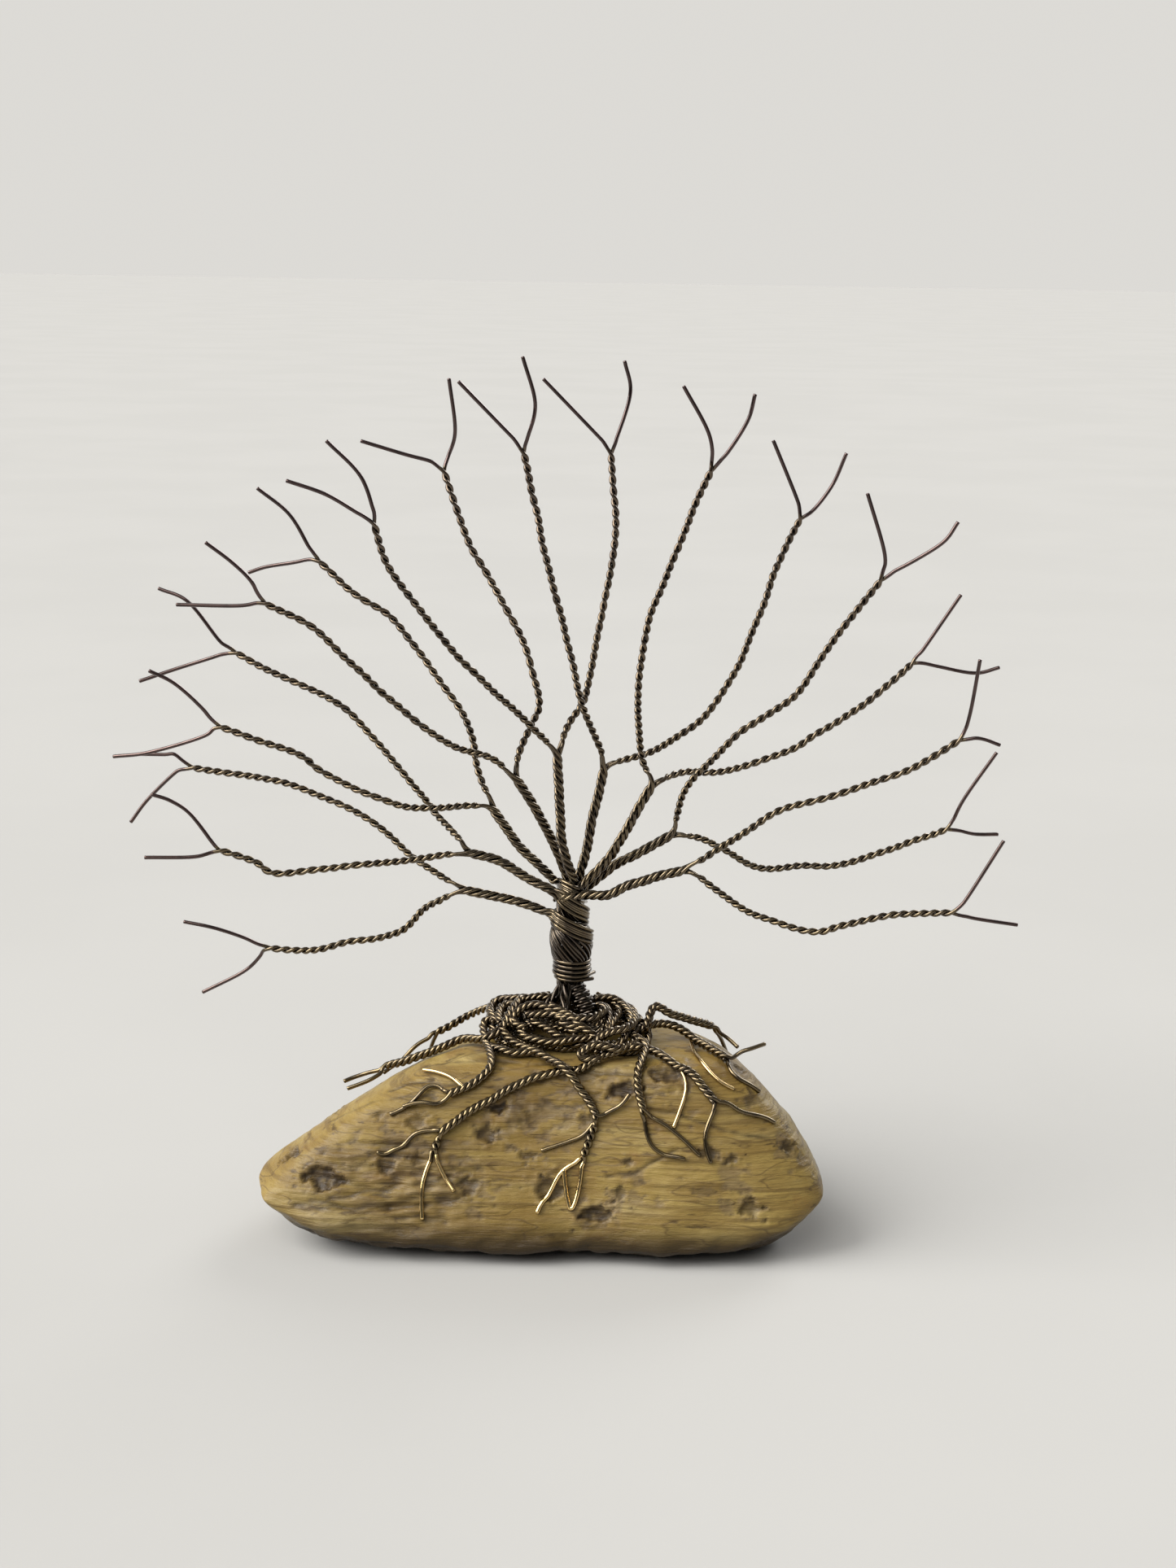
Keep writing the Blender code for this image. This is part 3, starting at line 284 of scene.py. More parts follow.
# Trunk: height, centre x, outer radius
TRUNK = [
    (19.2, -0.25, 0.95), (19.8, -0.2, 1.05), (20.6, -0.02, 1.36), (21.6, -0.05, 1.38),
    (22.4, -0.08, 1.66), (23.4, -0.12, 1.8), (24.3, -0.18, 1.72), (25.1, -0.25, 1.42),
    (26, -0.3, 1.12), (27.4, -0.33, 1.02), (28.6, -0.2, 0.75),
]
TRUNK_WIRES = 25
TRUNK_PITCH = 13.5
# where the trunk is thinner than this, some of its strands sink behind the others
TIGHT_RADIUS = 1.62
SINKING = (0.0, 0.26, 0.10)

# Legs between the trunk and its tangled foot. The wrapped one: axis points with the leg's radius
WRAPPED_LEG = [
    (-0.3, -0.1, 20.1, 0.85), (0.2, -0.2, 19.5, 0.98), (0.8, -0.5, 18.5, 1.08),
    (1.3, -0.9, 17.5, 1.05), (1.6, -1.1, 16.9, 0.9),
]
LEG_WRAPS = 8
LEG_STRANDS = 9
SIDE_LEGS = [
    [(-0.4, -0.3, 20.2), (-0.9, -0.3, 19.4), (-1.6, -0.5, 18.5), (-2.3, -0.8, 17.6),
     (-2.9, -1.2, 16.8)],
    [(-0.2, 0.5, 20.2), (-0.5, 1, 19.3), (-1, 1.6, 18.2), (-1.5, 2.4, 17)],
    [(0.2, 0.5, 20.1), (0.6, 1.1, 19.2), (1.1, 1.7, 18.1), (1.6, 2.5, 16.9)],
    [(-0.3, -0.6, 20), (-0.5, -1.1, 19.2), (-0.6, -1.7, 18.4), (-0.9, -2.4, 17.8)],
]
SIDE_LEG_STRANDS = 4
SIDE_LEG_OFFSET, SIDE_LEG_PITCH = 0.32, 4.5

# Bindings: heights from and to, radius, angle of the start, turns, then the cut end sticking out
LOWER_BINDING = [
    (20.75, 22.15, 1.50, -20, 3.6, [(1.85, 0.35, 20.72), (1.62, -0.1, 20.74)]),
    (20.45, 20.6, 1.36, -55, 0.9, [(1.75, -0.35, 20.38), (1.35, -0.8, 20.42)]),
]
LOWER_BINDING_X = -0.02
# three wires side by side: first height, distance between them, rise, radius, start, turns, x
UPPER_BINDING = (24.15, 0.36, 1.5, 1.52, 70, 1.1, -0.28)
UPPER_BINDING_NARROWS = 0.10


# ---------- curves ----------

def smoothstep(t):
    t = np.clip(t, 0.0, 1.0)
    return t * t * (3 - 2 * t)


def along(path):
    """Length from the start of the line to each of its points."""
    gaps = np.linalg.norm(np.diff(path, axis=0), axis=1)
    return np.concatenate([[0.0], np.cumsum(gaps)])


def even(path, step=STEP):
    """The same line with evenly spaced points."""
    s = along(path)
    grid = np.linspace(0, s[-1], max(3, round(s[-1] / step) + 1))
    return np.stack([np.interp(grid, s, path[:, k]) for k in range(path.shape[1])], 1)


def curve(points, step=STEP):
    """A smooth line through the points (Catmull-Rom)."""
    knots = np.array(points, float)
    ends = np.vstack([2 * knots[0] - knots[1], knots, 2 * knots[-1] - knots[-2]])
    t = np.arange(14)[:, None] / 14
    rows = []
    for a, b, c, d in zip(ends, ends[1:], ends[2:], ends[3:]):
        rows.append(0.5 * (2 * b + (c - a) * t + (2 * a - 5 * b + 4 * c - d) * t * t
                           + (3 * b - a - 3 * c + d) * t ** 3))
    rows.append(knots[-1:])
    return even(np.vstack(rows), step)


def relax(path, rounds, mask=None):
    """Evens out small kinks, most where the mask is 1; the ends stay."""
    path = path.copy()
    for _ in range(rounds):
        middle = (path[:-2] + 2 * path[1:-1] + path[2:]) / 4
        if mask is None:
            path[1:-1] = middle
        else:
            path[1:-1] += mask[1:-1, None] * (middle - path[1:-1])
    return path


def unit(v):
    return v / np.maximum(np.linalg.norm(v, axis=-1, keepdims=True), 1e-12)


def carry(path):
    """Directions along the line, and two square to it that don't spin."""
    way = unit(np.gradient(path, axis=0))
    now = np.array([0.0, 1, 0]) if abs(way[0, 1]) < 0.85 else np.array([0, 0, 1.0])
    side = np.empty_like(path)
    for i in range(len(path)):
        now = now - np.dot(now, way[i]) * way[i]
        now = now / np.linalg.norm(now)
        side[i] = now
    return way, side, np.cross(way, side)


def heading(path, length):
    """The direction in which a line sets out, measured over a length."""
    return unit(path[min(int(length / STEP), len(path) - 1)] - path[0])


def wobble(path, seed, size, scale):
    """Small hand-made unevenness of a line."""
    shift = [noise.noise_vector(Vector(p) / scale + Vector((seed * 7.3, seed * 1.9, 0)))
             for p in path]
    return path + size * np.array(shift)


def wander(count, seed, size):
    """A slow random drift of an angle along a rope."""
    return np.array([size * noise.noise(Vector((i * STEP / 2.6, seed * 3.7, 0.5)))
                     for i in range(count)])


def fade(path, length):
    """1 at the start of the line, 0 after the length."""
    return 1 - smoothstep(along(path) / length)


def turned(side, over, angle):
    return np.cos(angle)[:, None] * side + np.sin(angle)[:, None] * over


def angle_of(vector, side, over):
    return math.atan2(float(np.dot(vector, over)), float(np.dot(vector, side)))


# ---------- wire meshes ----------

class Wires:
    """Collects the wires of one piece, and makes its mesh."""

    def __init__(self):
        self.points = []
        self.faces = []
        self.slots = []
        self.count = 0

    def add(self, path, radius=WIRE_RADIUS, slot=0, sides=SIDES, change=None):
        """One round wire with slightly rounded ends. From point number change it is in slot 1."""
        way, side, over = carry(path)
        ends = (path[0] - way[0] * 0.22 * radius, path[-1] + way[-1] * 0.22 * radius)
        centre = np.vstack([ends[0], path, ends[1]])
        side = np.vstack([side[0], side, side[-1]])
        over = np.vstack([over[0], over, over[-1]])
        size = np.full(len(centre), radius)
        size[0] = size[-1] = radius * 0.72
        t = 2 * math.pi * np.arange(sides) / sides
        ring = np.cos(t)[None, :, None] * side[:, None] + np.sin(t)[None, :, None] * over[:, None]
        rings = centre[:, None] + size[:, None, None] * ring
        first = self.count
        self.points.append(rings.reshape(-1, 3))
        self.points.append(np.array([ends[0] - way[0] * 0.06 * radius,
                                     ends[1] + way[-1] * 0.06 * radius]))
        total = len(centre) * sides
        i = np.arange(len(centre) - 1)[:, None] * sides
        k = np.arange(sides)[None, :]
        n = (k + 1) % sides
        quads = np.stack([i + k, i + n, i + sides + n, i + sides + k], 2).reshape(-1, 4) + first
        self.faces.extend(quads.tolist())
        last = first + total - sides
        for j in range(sides):
            m = (j + 1) % sides
            self.faces.append((first + m, first + j, first + total))
            self.faces.append((last + j, last + m, first + total + 1))
        if change is None:
            self.slots.extend([slot] * (len(quads) + 2 * sides))
        else:
            rows = np.repeat(np.arange(len(centre) - 1), sides)
            self.slots.extend((rows > change).astype(int).tolist() + [0, 1] * sides)
        self.count += total + 2

    def piece(self, name, materials, node):
        mesh = bpy.data.meshes.new(name)
        mesh.from_pydata((np.vstack(self.points) * MM).tolist(), [], self.faces)
        for material in materials:
            mesh.materials.append(material)
        mesh.polygons.foreach_set("material_index", self.slots)
        mesh.shade_smooth()
        add_piece(mesh, name, node)


def add_object(name, data):
    obj = bpy.data.objects.new(name, data)
    bpy.context.scene.collection.objects.link(obj)
    return obj


def add_piece(mesh, name, node):
    obj = add_object(name, mesh)
    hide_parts(node)
    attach(obj, "root")


# ---------- materials ----------

def shader_tree(name):
    material = bpy.data.materials.new(name)
    material.use_nodes = True
    tree = material.node_tree
    return material, tree, tree.nodes["Principled BSDF"]


def node(tree, kind, values=None, **settings):
    made = tree.nodes.new(kind)
    for key, value in settings.items():
        setattr(made, key, value)
    for key, value in (values or {}).items():
        made.inputs[key].default_value = value
    return made


def object_place(tree):
    return node(tree, "ShaderNodeTexCoord").outputs["Object"]


def ramp(tree, stops, factor):
    """Colours by factor. A stop's value is a colour, or one number for a grey."""
    made = node(tree, "ShaderNodeValToRGB")
    band = made.color_ramp
    while len(band.elements) < len(stops):
        band.elements.new(0.5)
    for element, (position, value) in zip(band.elements, stops):
        element.position = position
        element.color = (*value, 1) if isinstance(value, tuple) else (value, value, value, 1)
    tree.links.new(factor, made.inputs["Fac"])
    return made.outputs["Color"]


def noise_node(tree, coordinates, scale, detail=3.0, rough=0.55):
    made = node(tree, "ShaderNodeTexNoise", {"Scale": scale, "Detail": detail, "Roughness": rough})
    tree.links.new(coordinates, made.inputs["Vector"])
    return made.outputs["Fac"]


def map_range(tree, value, from_low, from_high, to_low=0.0, to_high=1.0, kind="LINEAR"):
    made = node(tree, "ShaderNodeMapRange", {1: from_low, 2: from_high, 3: to_low, 4: to_high},
                interpolation_type=kind)
    tree.links.new(value, made.inputs[0])
    return made.outputs[0]


def maths(tree, operation, a, b):
    made = node(tree, "ShaderNodeMath", operation=operation)
    for index, value in enumerate((a, b)):
        if isinstance(value, (int, float)):
            made.inputs[index].default_value = value
        else:
            tree.links.new(value, made.inputs[index])
    return made.outputs[0]


def mix_colour(tree, factor, a, b):
    made = node(tree, "ShaderNodeMix", data_type="RGBA", blend_type="MIX")
    for index, value in ((0, factor), (6, a), (7, b)):
        if isinstance(value, tuple):
            made.inputs[index].default_value = (*value, 1)
        else:
            tree.links.new(value, made.inputs[index])
    return made.outputs[2]


def stain(tree, base, amount, strength, colour):
    """The base colour, covered by another one as far as the amount says."""
    return mix_colour(tree, maths(tree, "MULTIPLY", amount, strength), base, colour)


def bump(tree, shader, height, strength, distance):
    made = node(tree, "ShaderNodeBump", {"Strength": strength, "Distance": distance})
    tree.links.new(height, made.inputs["Height"])
    tree.links.new(made.outputs[0], shader.inputs["Normal"])


def wire_material(name, low, high, patina_and_shade, from_z, to_z):
    """Lacquered wire: its colour goes from low to high with height; patina darkens it in patches,
    and painted shade darkens it where strands touch."""
    material, tree, shader = shader_tree(name)
    place = object_place(tree)
    split = node(tree, "ShaderNodeSeparateXYZ")
    tree.links.new(place, split.inputs[0])
    height = map_range(tree, split.outputs["Z"], from_z * MM, to_z * MM)
    drift = maths(tree, "SUBTRACT", noise_node(tree, place, 260), 0.5)
    shade = maths(tree, "ADD", height, maths(tree, "MULTIPLY", drift, 0.6))
    colour = ramp(tree, [(0.0, low), (1.0, high)], shade)
    spots = ramp(tree, [(0.46, 0), (0.66, 1)], noise_node(tree, place, 900, 4))
    colour = stain(tree, colour, spots, 0.6, patina_and_shade)
    # painted shade: ambient occlusion darkens the wire where strands touch, in a darker tone of
    # the patina colour
    crevice = node(tree, "ShaderNodeAmbientOcclusion", {"Distance": 0.35 * MM}, samples=6)
    painted_crevice_shade = ramp(tree, [(0.35, 1), (0.85, 0)], crevice.outputs["AO"])
    colour = stain(tree, colour, painted_crevice_shade, 0.9, tuple(0.35 * c for c in patina_and_shade))
    tree.links.new(colour, shader.inputs["Base Color"])
    shader.inputs["Metallic"].default_value = 1.0
    rough = map_range(tree, noise_node(tree, place, 1500, 3), 0.3, 0.7, 0.10, 0.24)
    tree.links.new(rough, shader.inputs["Roughness"])
    shader.inputs["Coat Weight"].default_value = 0.8
    shader.inputs["Coat Roughness"].default_value = 0.1
    bump(tree, shader, noise_node(tree, place, 2600, 4), 0.2, 0.00005)
    return material


TRUNK_WIRE = wire_material("wire_trunk", (0.040, 0.026, 0.012), (0.070, 0.048, 0.023),
                           (0.018, 0.011, 0.007), 22, 29)
CROWN = wire_material("wire_crown", (0.125, 0.090, 0.044), (0.092, 0.062, 0.037),
                      (0.024, 0.015, 0.010), 28, 62)
TIPS = wire_material("wire_tips", (0.074, 0.041, 0.034), (0.066, 0.036, 0.032),
                     (0.024, 0.013, 0.011), 28, 62)
NEST = wire_material("wire_nest", (0.165, 0.117, 0.048), (0.094, 0.065, 0.031),
                     (0.028, 0.017, 0.010), 10, 22)
GOLD = wire_material("wire_gold", (0.80, 0.58, 0.24), (0.70, 0.50, 0.22),
                     (0.26, 0.16, 0.07), 3, 14)


# ---------- stone ----------

STONE_VOXEL = 0.2
SOFTEN_ROUNDS = 190

# Hollows and knots seen in the stone: x, y, radius, depth, darkness, ring, stretch along x
HOLLOWS = [
    (-22.6, -7.7, 0.75, 0.55, 0.75, 0.25, 1.7), (-20, -10.3, 1.1, 0.5, 1, 0.1, 1.6),
    (-19.6, -4.6, 0.5, 0.15, 0.4, 0.2, 1.3), (-15.4, -8.1, 0.45, 0.15, 0.45, 0.2, 1.3),
    (-12.4, -8.8, 0.8, 0.22, 0.5, 0.25, 1.4), (-6.8, -9.2, 0.85, 0.3, 0.8, 0.3, 1.3),
    (-4.3, -8.4, 1.1, -0.25, 0.5, 0.3, 1.2), (-5.8, -8.3, 0.6, 0.45, 1, 0.1, 1.5),
    (-8.1, -11, 0.9, 0.3, 0.75, 0.3, 1.2), (-1.7, -10.9, 1.1, 0.3, 0.7, 0.4, 1.3),
    (1.3, -7.2, 1.1, 0.16, 0.5, 0.25, 1.4), (8.2, -8, 1.35, 0.45, 0.85, 0.35, 1.1),
    (4.2, -8.4, 0.85, 0.5, 1, 0.15, 1.9), (14.6, -8.3, 0.8, 0.12, 0.6, 0.1, 1.1),
    (17.8, -9.2, 0.6, 0.35, 0.7, 0.5, 1.5), (13.2, -10.7, 0.5, 0.25, 0.7, 0.2, 1.3),
    (11.3, -10.6, 0.55, 0.2, 0.75, 0.15, 2), (4.8, -10.5, 0.45, 0.2, 0.75, 0.1, 1.1),
    (4.2, -11.2, 0.5, 0.25, 0.6, 0.2, 1.5), (2.2, -11.7, 1, 0.5, 0.95, 0.3, 1.6),
    (14.6, -11.8, 0.8, 0.4, 0.6, 0.3, 1.5), (-3.4, -9.9, 0.5, 0.2, 0.5, 0.2, 1.8),
    (1.6, -8.9, 0.5, 0.2, 0.6, 0.2, 1.8), (-14.7, -10.3, 0.6, 0.4, 0.85, 0.2, 1.7),
    (-12.2, -10.2, 0.6, 0.25, 0.6, 0.2, 1.6), (13.9, -5.7, 0.7, 0.2, 0.6, 0.2, 1.3),
    (-9, 6, 1.2, 0.35, 0.7, 0.3, 1.3), (6.5, 8.6, 0.9, 0.3, 0.7, 0.3, 1.5),
    (14.5, 1, 1, 0.25, 0.6, 0.3, 1.2), (-18, 1.5, 0.9, 0.3, 0.7, 0.2, 1.4),
    (-1, 9.5, 1.1, 0.35, 0.8, 0.3, 1.6), (18.5, -3, 0.7, 0.3, 0.7, 0.2, 1.2),
]
# Small pits at random places: how many, where, and their radii
PITS = 110
PIT_X, PIT_Y = (-24, 20), (-11.8, 9.5)
PIT_RADII = (0.10, 0.14, 0.18, 0.3)
# Cracks and grain lines on the stone: points x, y, then width and depth
CRACKS = [
    ([(-12.5, -4.6), (-9.4, -4.8), (-6.8, -5.2), (-3.4, -6), (-0.7, -6.2)], 0.16, 0.14),
    ([(-14.8, -6.1), (-12, -6.7), (-9.3, -7.1), (-6.6, -7.4), (-4.5, -7.2)], 0.14, 0.12),
    ([(2, -7.2), (3.6, -7.5), (5.4, -7.7)], 0.18, 0.16),
    ([(6.6, -9.2), (9.9, -9.7), (13.2, -9.9), (17.9, -9.1)], 0.14, 0.16),
    ([(3, -10.7), (5.3, -10.8), (8, -10.5), (10.6, -10.4)], 0.14, 0.14),
    ([(-25.5, -10.3), (-22, -11.2), (-17.5, -11.7), (-11.6, -11.6), (-9, -11.4)], 0.22, 0.22),
    ([(-19, -11.3), (-15.5, -11.2), (-12, -10.9), (-9.5, -10.7)], 0.2, 0.2),
    ([(-21, -6.2), (-17, -6.9), (-14.5, -7.3), (-11, -7.5)], 0.12, 0.06),
    ([(-2.4, -8.2), (0.2, -8.3), (2.2, -8.4)], 0.14, 0.1),
    ([(-20, 2.5), (-12, 5), (-4, 7.5), (3, 9)], 0.2, 0.2),
    ([(5, 6.5), (11, 5), (16, 1)], 0.18, 0.16),
]
# the flaky patch at the left front: centre x, y, half width, half depth, and it is under a height
FLAKY = (-14.5, -10.9, 7.5, 1.7)
FLAKY_TOP = 9.5
# patches of brown and grey crust: centre x, y, half width, half depth
CRUSTS = [
    (-1.5, -8.3, 4.6, 1.3), (-13.5, -9.9, 5, 1.2), (8.2, -7.9, 2.6, 1.5), (3.6, -11.4, 2.8, 0.7),
    (-8.2, -11, 2.4, 0.9), (1.6, -6.6, 2.6, 0.7), (17.6, -9.4, 1.2, 0.8), (-20.3, -10.2, 1.8, 0.8),
    (13, -11.3, 2.4, 0.6), (-5.6, -9.1, 2, 0.7),
]


def coordinates(mesh):
    co = np.empty(len(mesh.vertices) * 3)
    mesh.vertices.foreach_get("co", co)
    return co.reshape(-1, 3)


def make_stone_mesh():
    """The stone's solid, remeshed finely and softened, then fitted to the solid's box again."""
    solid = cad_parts["stone_base"].data
    rough = add_object("stone_rough", solid.copy())
    remesh = rough.modifiers.new("fine", "REMESH")
    remesh.mode = "VOXEL"
    remesh.voxel_size = STONE_VOXEL * MM
    smooth = rough.modifiers.new("soften", "SMOOTH")
    smooth.iterations = SOFTEN_ROUNDS
    smooth.factor = 0.5
    depsgraph = bpy.context.evaluated_depsgraph_get()
    fine = bpy.data.meshes.new_from_object(rough.evaluated_get(depsgraph))
    bpy.data.objects.remove(rough, do_unlink=True)
    co = coordinates(fine)
    goal = coordinates(solid)
    co = goal.min(0) + (co - co.min(0)) * np.ptp(goal, axis=0) / np.ptp(co, axis=0)
    fine.vertices.foreach_set("co", co.reshape(-1))
    fine.update()
    return fine


def tree_of(mesh):
    return BVHTree.FromPolygons([v.co.copy() for v in mesh.vertices],
                                [p.vertices[:] for p in mesh.polygons])


def drop(tree, x, y):
    """The point of the stone's upper side at x, y in millimetres, or None off its edge."""
    hit = tree.ray_cast(Vector((x * MM, y * MM, 0.04)), Vector((0, 0, -1)))[0]
    return None if hit is None else np.array(hit) / MM


def distance_to_line(points, line):
    """Distance of many points from a polyline."""
    best = np.full(len(points), 1e9)
    for a, b in zip(line, line[1:]):
        d = b - a
        t = np.clip(((points - a) @ d) / max(float(d @ d), 1e-12), 0, 1)
        best = np.minimum(best, np.linalg.norm(points - (a + t[:, None] * d), axis=1))
    return best


def clouds(points, scale, seed):
    """Uneven noise of two sizes at many points."""
    shift = Vector((seed, 2.1 * seed, 0.7))
    places = [Vector(p) / scale + shift for p in points]
    return np.array([noise.noise(p) + 0.5 * noise.noise(p * 2.3) for p in places])


def stretched(p, x, y, z, shift=(0, 0, 0)):
    """Noise at a point, its grains drawn out to these sizes."""
    return noise.noise(Vector((p[0] / x, p[1] / y, p[2] / z)) + Vector(shift))


class StoneShape:
    """The stone's vertices, how far each moves outwards, and how dark or grey it becomes."""

    def __init__(self, mesh):
        self.mesh = mesh
        self.co = coordinates(mesh) / MM
        self.tree = tree_of(mesh)
        self.move = np.zeros(len(self.co))
        self.dark = np.zeros(len(self.co))
        self.grey = np.zeros(len(self.co))

    def darken(self, amount):
        self.dark = np.maximum(self.dark, amount)

    def hollow(self, x, y, radius, depth, darkness, ring, stretch):
        away = self.co - drop(self.tree, x, y)
        away[:, 0] /= stretch
        near = np.linalg.norm(away, axis=1) / (0.85 * radius)
        close = near < 2.4
        near[close] *= 1 + 0.75 * clouds(self.co[close], 0.85 * radius, x)
        bowl = np.exp(-np.clip(near / 0.8, 0, 3) ** 5)
        rim = np.exp(-((near - 1.12) / 0.2) ** 2)
        self.move -= depth * bowl
        self.move += ring * 0.3 * rim
        core = smoothstep((0.95 - near) / 0.22)
        uneven = np.ones(len(self.co))
        uneven[close] = 0.85 + 0.7 * clouds(self.co[close], 0.4, y)
        self.darken(darkness * core * np.clip(uneven, 0, 1))
        self.grey = np.maximum(self.grey, 0.5 * darkness * smoothstep((1.3 - near) / 0.25))

    def random_pit(self):
        x = random.uniform(*PIT_X)
        y = random.uniform(*PIT_Y)
        radius = random.choice(PIT_RADII)
        centre = drop(self.tree, x, y)
        if centre is None:
            return
        near = np.linalg.norm((self.co - centre) / np.array([1.6, 1, 1]), axis=1) / radius
        self.move -= 0.12 * np.exp(-near ** 2)
        self.darken(0.6 * np.exp(-(near / 0.9) ** 4))

    def crack(self, line, width, depth):
        spots = [drop(self.tree, x, y) for x, y in line]
        spots = np.array([p for p in spots if p is not None])
        spots = wobble(curve(spots, 0.5), len(line) + width, 0.35, 1.6)
        cut = np.exp(-(distance_to_line(self.co, spots) / width) ** 2)
        self.move -= depth * cut
        self.darken(0.75 * cut)

    def crust(self, x, y, half_x, half_y):
        near = np.hypot((self.co[:, 0] - x) / half_x, (self.co[:, 1] - y) / half_y)
        close = near < 1.7
        co = self.co[close]
        cover = 0.7 + 1.5 * clouds(co / np.array([1.5, 1, 1]), 0.9, x) - near[close]
        cover = smoothstep(cover / 0.35)
        self.grey[close] = np.maximum(self.grey[close], 0.6 * cover)
        self.move[close] -= 0.06 * cover
        spots = smoothstep((clouds(co, 0.45, y) - 0.25) / 0.2) * cover
        self.dark[close] = np.maximum(self.dark[close], 0.55 * spots)

    def flake(self):
        x, y, half_x, half_y = FLAKY
        co = self.co
        low = co[:, 2] < FLAKY_TOP
        near = ((co[:, 0] - x) / half_x) ** 2 + ((co[:, 1] - y) / half_y) ** 2
        flaky = np.exp(-near ** 2) * low
        layers = np.zeros(len(co))
        busy = flaky > 0.02
        layers[busy] = [
            stretched(p, 3.2, 1.6, 0.55, (5, 2, 9)) + 0.6 * stretched(p, 1.2, 0.8, 0.35)
            for p in co[busy]]
        self.move += flaky * (0.32 * layers - 0.12)
        self.grey = np.maximum(self.grey, flaky * np.clip(0.3 + 0.7 * layers, 0, 0.8))
        self.darken(flaky * np.clip(-layers * 1.7 - 0.15, 0, 0.9))

    def finish(self):
        """Adds lumps and a ragged lower edge, moves the vertices and paints the mesh, with painted
        shade low down.
        """
        co = self.co
        lumps = np.array([
            0.30 * noise.noise(Vector(p) / 6.5)
            + 0.10 * stretched(p, 3.6, 2, 1.6, (3, 8, 1))
            + 0.045 * stretched(p, 5, 2.5, 0.42)
            + 0.02 * noise.noise(Vector(p) / 0.45)
            for p in co])
        # band near the bottom: it roughens the lower edge, and in the paint it is painted shade,
        # darker towards the resting face
        lower_edge_and_shade = smoothstep((4.2 - co[:, 2]) / 2.8)
        ragged = np.array([noise.noise(Vector((p[0] / 1.5, p[1] / 1.5, p[2] / 0.9)) * 0.9)
                           for p in co])
        self.move += lumps + lower_edge_and_shade * 0.28 * ragged
        hold = smoothstep(co[:, 2] / 0.5)
        normal = np.empty(len(co) * 3)
        self.mesh.vertices.foreach_get("normal", normal)
        co = co + normal.reshape(-1, 3) * (self.move * hold)[:, None]
        self.mesh.vertices.foreach_set("co", (co * MM).reshape(-1))
        self.mesh.update()
        # the paint holds the dark marks, the grey crust and the painted shade of the lower edge
        paint = self.mesh.color_attributes.new("wear_and_shade", "FLOAT_COLOR", "POINT")
        colours = np.stack([np.clip(self.dark, 0, 1), np.clip(self.grey, 0, 1), lower_edge_and_shade,
                            np.ones(len(co))], 1)
        paint.data.foreach_set("color", colours.reshape(-1))
        self.mesh.shade_smooth()


# What lies over the stone's base colour, in this order: coordinates, then the noise's scale,
# detail and roughness, the noise values where it starts and is full, its strength and colour
STAINS = [
    ("grain", 900, 5, 0.6, [(0.42, 0), (0.62, 1)], 0.6, (0.173, 0.106, 0.0275)),
    ("grain", 330, 4, 0.55, [(0.55, 0), (0.75, 1)], 0.55, (0.384, 0.314, 0.147)),
    ("layers", 2300, 3, 0.6, [(0.5, 0), (0.64, 1)], 0.6, (0.105, 0.062, 0.018)),
    ("grain", 1900, 4, 0.6, [(0.61, 0), (0.68, 1)], 0.75, (0.06, 0.036, 0.014)),
    ("grain", 420, 2, 0.55, [(0.488, 0), (0.5, 1), (0.512, 0)], 0.6, (0.07, 0.04, 0.014)),
    ("place", 210, 4, 0.55, [(0.58, 0), (0.72, 1)], 0.5, (0.173, 0.0832, 0.0224)),
]


def stone_material():
    material, tree, shader = shader_tree("stone_golden")
    where = {"place": object_place(tree)}
    for name, scale in (("grain", (0.2, 0.42, 1.0)), ("layers", (0.05, 0.11, 1.0))):
        mapping = node(tree, "ShaderNodeMapping", {"Scale": scale})
        tree.links.new(where["place"], mapping.inputs[0])
        where[name] = mapping.outputs[0]
    base = ramp(tree, [(0.30, (0.16, 0.0992, 0.023)), (0.5, (0.246, 0.168, 0.0448)),
                       (0.72, (0.314, 0.23, 0.0736))], noise_node(tree, where["place"], 95, 4))
    for name, scale, detail, rough, stops, strength, colour in STAINS:
        amount = ramp(tree, stops, noise_node(tree, where[name], scale, detail, rough))
        base = stain(tree, base, amount, strength, colour)
    wear_and_shade = node(tree, "ShaderNodeVertexColor", layer_name="wear_and_shade").outputs[0]
    parts = node(tree, "ShaderNodeSeparateColor")
    tree.links.new(wear_and_shade, parts.inputs[0])
    dark, grey, lower_edge_and_shade = parts.outputs
    mottled = ramp(tree, [(0.36, (0.0576, 0.0371, 0.0218)), (0.5, (0.128, 0.0896, 0.0544)),
                          (0.64, (0.20, 0.15, 0.085)), (0.76, (0.30, 0.24, 0.15))],
                   noise_node(tree, where["grain"], 1500, 5, 0.7))
    base = stain(tree, base, grey, 0.8, mottled)
    # painted shade: the stone is darkened towards its lower edge
    base = mix_colour(tree, lower_edge_and_shade, base, (0.034, 0.021, 0.007))
    base = stain(tree, base, dark, 0.95, (0.030, 0.019, 0.011))
    tree.links.new(base, shader.inputs["Base Color"])
    rough = map_range(tree, noise_node(tree, where["place"], 500, 4), 0.3, 0.7, 0.30, 0.52)
    tree.links.new(rough, shader.inputs["Roughness"])
    shader.inputs["Specular IOR Level"].default_value = 0.25
    shader.inputs["Coat Weight"].default_value = 0.06
    shader.inputs["Coat Roughness"].default_value = 0.2
    ridges = maths(tree, "MULTIPLY", noise_node(tree, where["layers"], 2300, 3, 0.6), 0.7)
    fine = maths(tree, "ADD", noise_node(tree, where["grain"], 1300, 6, 0.65), ridges)
    bump(tree, shader, fine, 0.8, 0.0003)
    return material


